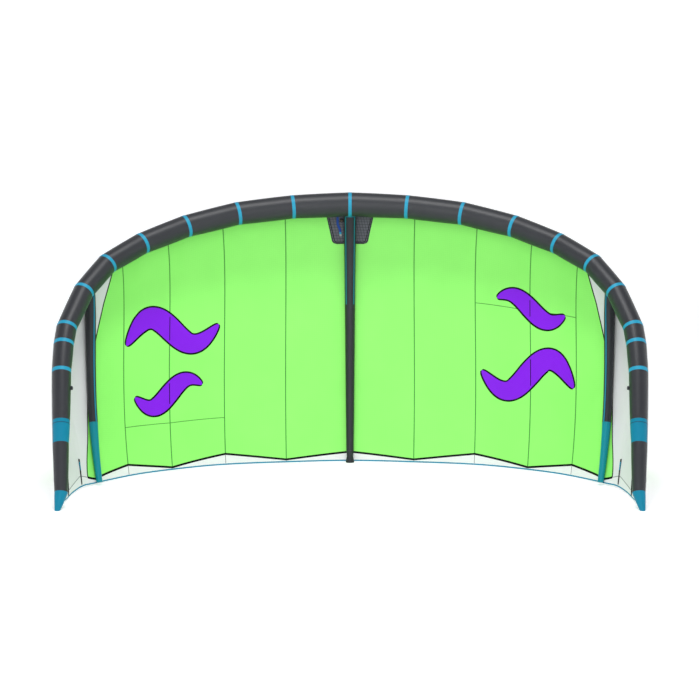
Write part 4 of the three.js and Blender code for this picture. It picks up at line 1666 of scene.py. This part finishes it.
@dataclass
class TipTrim:
    """The battens in each tip, and the tab on the tube that a bridle line is tied to.

    The tab's profile is one half of it: shares of its length and of its height.
    """

    leading_edge: LeadingEdge
    lift: float = 1.1
    thickness: float = 3.6
    points: int = 40
    cover_spare: float = 2.0
    cover_thickness: float = 1.0
    cover_sink: float = 0.5
    tab_ring: float = 9.35
    tab_length: float = 24.0
    tab_width: float = 14.0
    tab_reach: float = 16.0
    tab_sink: float = 4.0
    tab_profile: tuple[tuple[float, float], ...] = ((0.5, 0.0), (0.5, 0.75), (0.35, 0.95), (0.0, 1.0))

    def build(self) -> None:
        """Makes the trim of both tips."""
        for side in Side:
            for pocket in POCKETS:
                self.batten(side, pocket)
            self.tab(side)

    def batten(self, side: Side, pocket: Pocket) -> None:
        """A batten in its pocket.

        Args:
            side: the tip that it is on.
            pocket: its route and its size.
        """
        share = np.linspace(0, 1, self.points)
        pairs = zip(pocket.start, pocket.end)
        rings, runs = (start + (end - start) * share for start, end in pairs)
        rings = rings * side.value
        widths = pocket.widths[0] + (pocket.widths[1] - pocket.widths[0]) * share
        name = f"{pocket.name}_{side.word}"
        batten = Strip(rings, runs, widths, self.thickness, self.lift)
        add_strips(f"{name}_pocket", [batten], BLACK_TAPE, "batten_pocket", [name])
        if pocket.cover:
            start, end = pocket.cover
            there = (share >= start) & (share <= end)
            lift = self.lift + self.thickness - self.cover_sink
            wide = widths[there] + self.cover_spare
            cover = Strip(rings[there], runs[there], wide, self.cover_thickness, lift)
            add_strips(f"{name}_cover", [cover], BLUE_TAPE, "batten_pocket")

    def tab(self, side: Side) -> None:
        """The folded webbing tab, which faces the middle of the kite.

        Args:
            side: the tip that it is on.
        """
        along = self.leading_edge.headings[int(self.tab_ring)]
        out = unit(np.array([-1.0, 0.0, 0.0]) + along * along[0])
        beside = np.cross(out, along) * self.tab_width
        base = FORM.corner_point(np.array(self.tab_ring))
        base = base + out * (float(FORM.radius(np.array(self.tab_ring))) - self.tab_sink)
        length, height = along * self.tab_length, out * (self.tab_reach + self.tab_sink)
        profile = self.tab_profile + tuple((-x, y) for x, y in self.tab_profile[2::-1])
        outline = np.array([base + length * x + height * y for x, y in profile])
        loops = np.array([outline + beside * end for end in (-0.5, 0.5)])
        name = f"bridle_tab_{side.word}"
        add_skin(f"{name}_webbing", loops * side.mirror, DARK_WEBBING, "webbing", [name])


@dataclass
class Studio:
    """The camera at the photograph's angle, a pale seamless sweep, and soft lights."""

    focal_pixels: float = 1560.0
    picture_width: float = 700.0
    sensor: float = 36.0
    camera_place: tuple[float, float, float] = (0.0, -11.902, 2.382)
    tilt: float = 7.34
    sky: float = 0.45
    paper_glow: float = 0.32
    aim: tuple[float, float, float] = (0.0, 0.0, 1.2)
    floor: float = 16.0
    bend: float = 6.0
    bend_steps: int = 12
    wall: float = 14.0
    sides: int = 96
    lamps: tuple[tuple[str, tuple[float, float, float], float, float], ...] = (
        ("key", (-1.0, -12.5, 4.5), 9.0, 420.0),
        ("top", (0.0, -2.0, 9.5), 2.2, 340.0),
    )

    def build(self) -> None:
        """Sets up everything round the kite."""
        self.camera()
        self.sweep()
        self.lights()
        bpy.context.scene.view_settings.view_transform = "Standard"

    def camera(self) -> None:
        """The camera: a long lens 12 m in front of the kite, looking a little down."""
        lens = bpy.data.cameras.new("camera")
        lens.sensor_width = self.sensor
        lens.lens = self.focal_pixels / self.picture_width * self.sensor
        made = bpy.data.objects.new("camera", lens)
        across, back, up = self.camera_place
        made.location = (across, back - MIDDLE_BACK * MILLIMETRE, up)
        made.rotation_euler = (math.radians(90 - self.tilt), 0, 0)
        bpy.context.scene.collection.objects.link(made)
        bpy.context.scene.camera = made

    def sweep(self) -> None:
        """A floor that curves up all round into a pale wall."""
        profile = [(0.0, 0.0), (self.floor / 2, 0.0), (self.floor, 0.0)]
        for step in np.linspace(0, math.pi / 2, self.bend_steps + 1)[1:]:
            reach = self.floor + self.bend * math.sin(step)
            profile.append((reach, self.bend - self.bend * math.cos(step)))
        profile.append((self.floor + self.bend, self.wall))
        turns = np.linspace(0, 2 * np.pi, self.sides, endpoint=False)
        points, faces = [(0.0, 0.0, 0.0)], []
        for reach, height in profile[1:]:
            points += [(reach * math.cos(a), reach * math.sin(a), height) for a in turns]
        count = len(turns)
        for i in range(count):
            after = (i + 1) % count
            faces.append((0, 1 + i, 1 + after))
            for row in range(len(profile) - 2):
                low, high = 1 + row * count, 1 + (row + 1) * count
                faces.append((low + i, high + i, high + after, low + after))
        mesh = bpy.data.meshes.new("sweep")
        mesh.from_pydata(points, [], faces)
        mesh.polygons.foreach_set("use_smooth", np.ones(len(mesh.polygons), bool))
        paper = bpy.data.materials.new("white_paper_sweep")
        paper.use_nodes = True
        surface = paper.node_tree.nodes["Principled BSDF"]
        surface.inputs["Base Color"].default_value = linear("#f4f5f6")
        surface.inputs["Roughness"].default_value = 0.9
        surface.inputs["Emission Color"].default_value = linear("#ffffff")
        surface.inputs["Emission Strength"].default_value = self.paper_glow
        mesh.materials.append(paper)
        made = bpy.data.objects.new("sweep", mesh)
        bpy.context.scene.collection.objects.link(made)

    def lights(self) -> None:
        """A large key in front, a small lamp above that draws the tube's highlight, and an even sky."""
        world = bpy.data.worlds.new("soft_sky")
        world.use_nodes = True
        background = world.node_tree.nodes["Background"]
        background.inputs["Color"].default_value = linear("#ffffff")
        background.inputs["Strength"].default_value = self.sky
        bpy.context.scene.world = world
        for name, place, size, power in self.lamps:
            light = bpy.data.lights.new(name, "AREA")
            light.shape = "SQUARE"
            light.size = size
            light.energy = power
            made = bpy.data.objects.new(name, light)
            made.location = place
            across, back, up = (aim - at for aim, at in zip(self.aim, place))
            made.rotation_euler = (math.atan2(math.hypot(across, back), -up), 0, math.atan2(-across, back))
            bpy.context.scene.collection.objects.link(made)


def main() -> None:
    """Builds the dressed kite and its studio."""
    logging.basicConfig(level=logging.INFO, format="%(name)s: %(message)s")
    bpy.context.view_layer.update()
    Studio().build()
    leading_edge = LeadingEdge()
    assemblies = (leading_edge, Canopy(), Seams(), Inlays(), Struts(), Patch(), TipTrim(leading_edge))
    for assembly in assemblies:
        assembly.build()
        log.info("%s is in place", type(assembly).__name__)


if __name__ == "__main__":
    main()
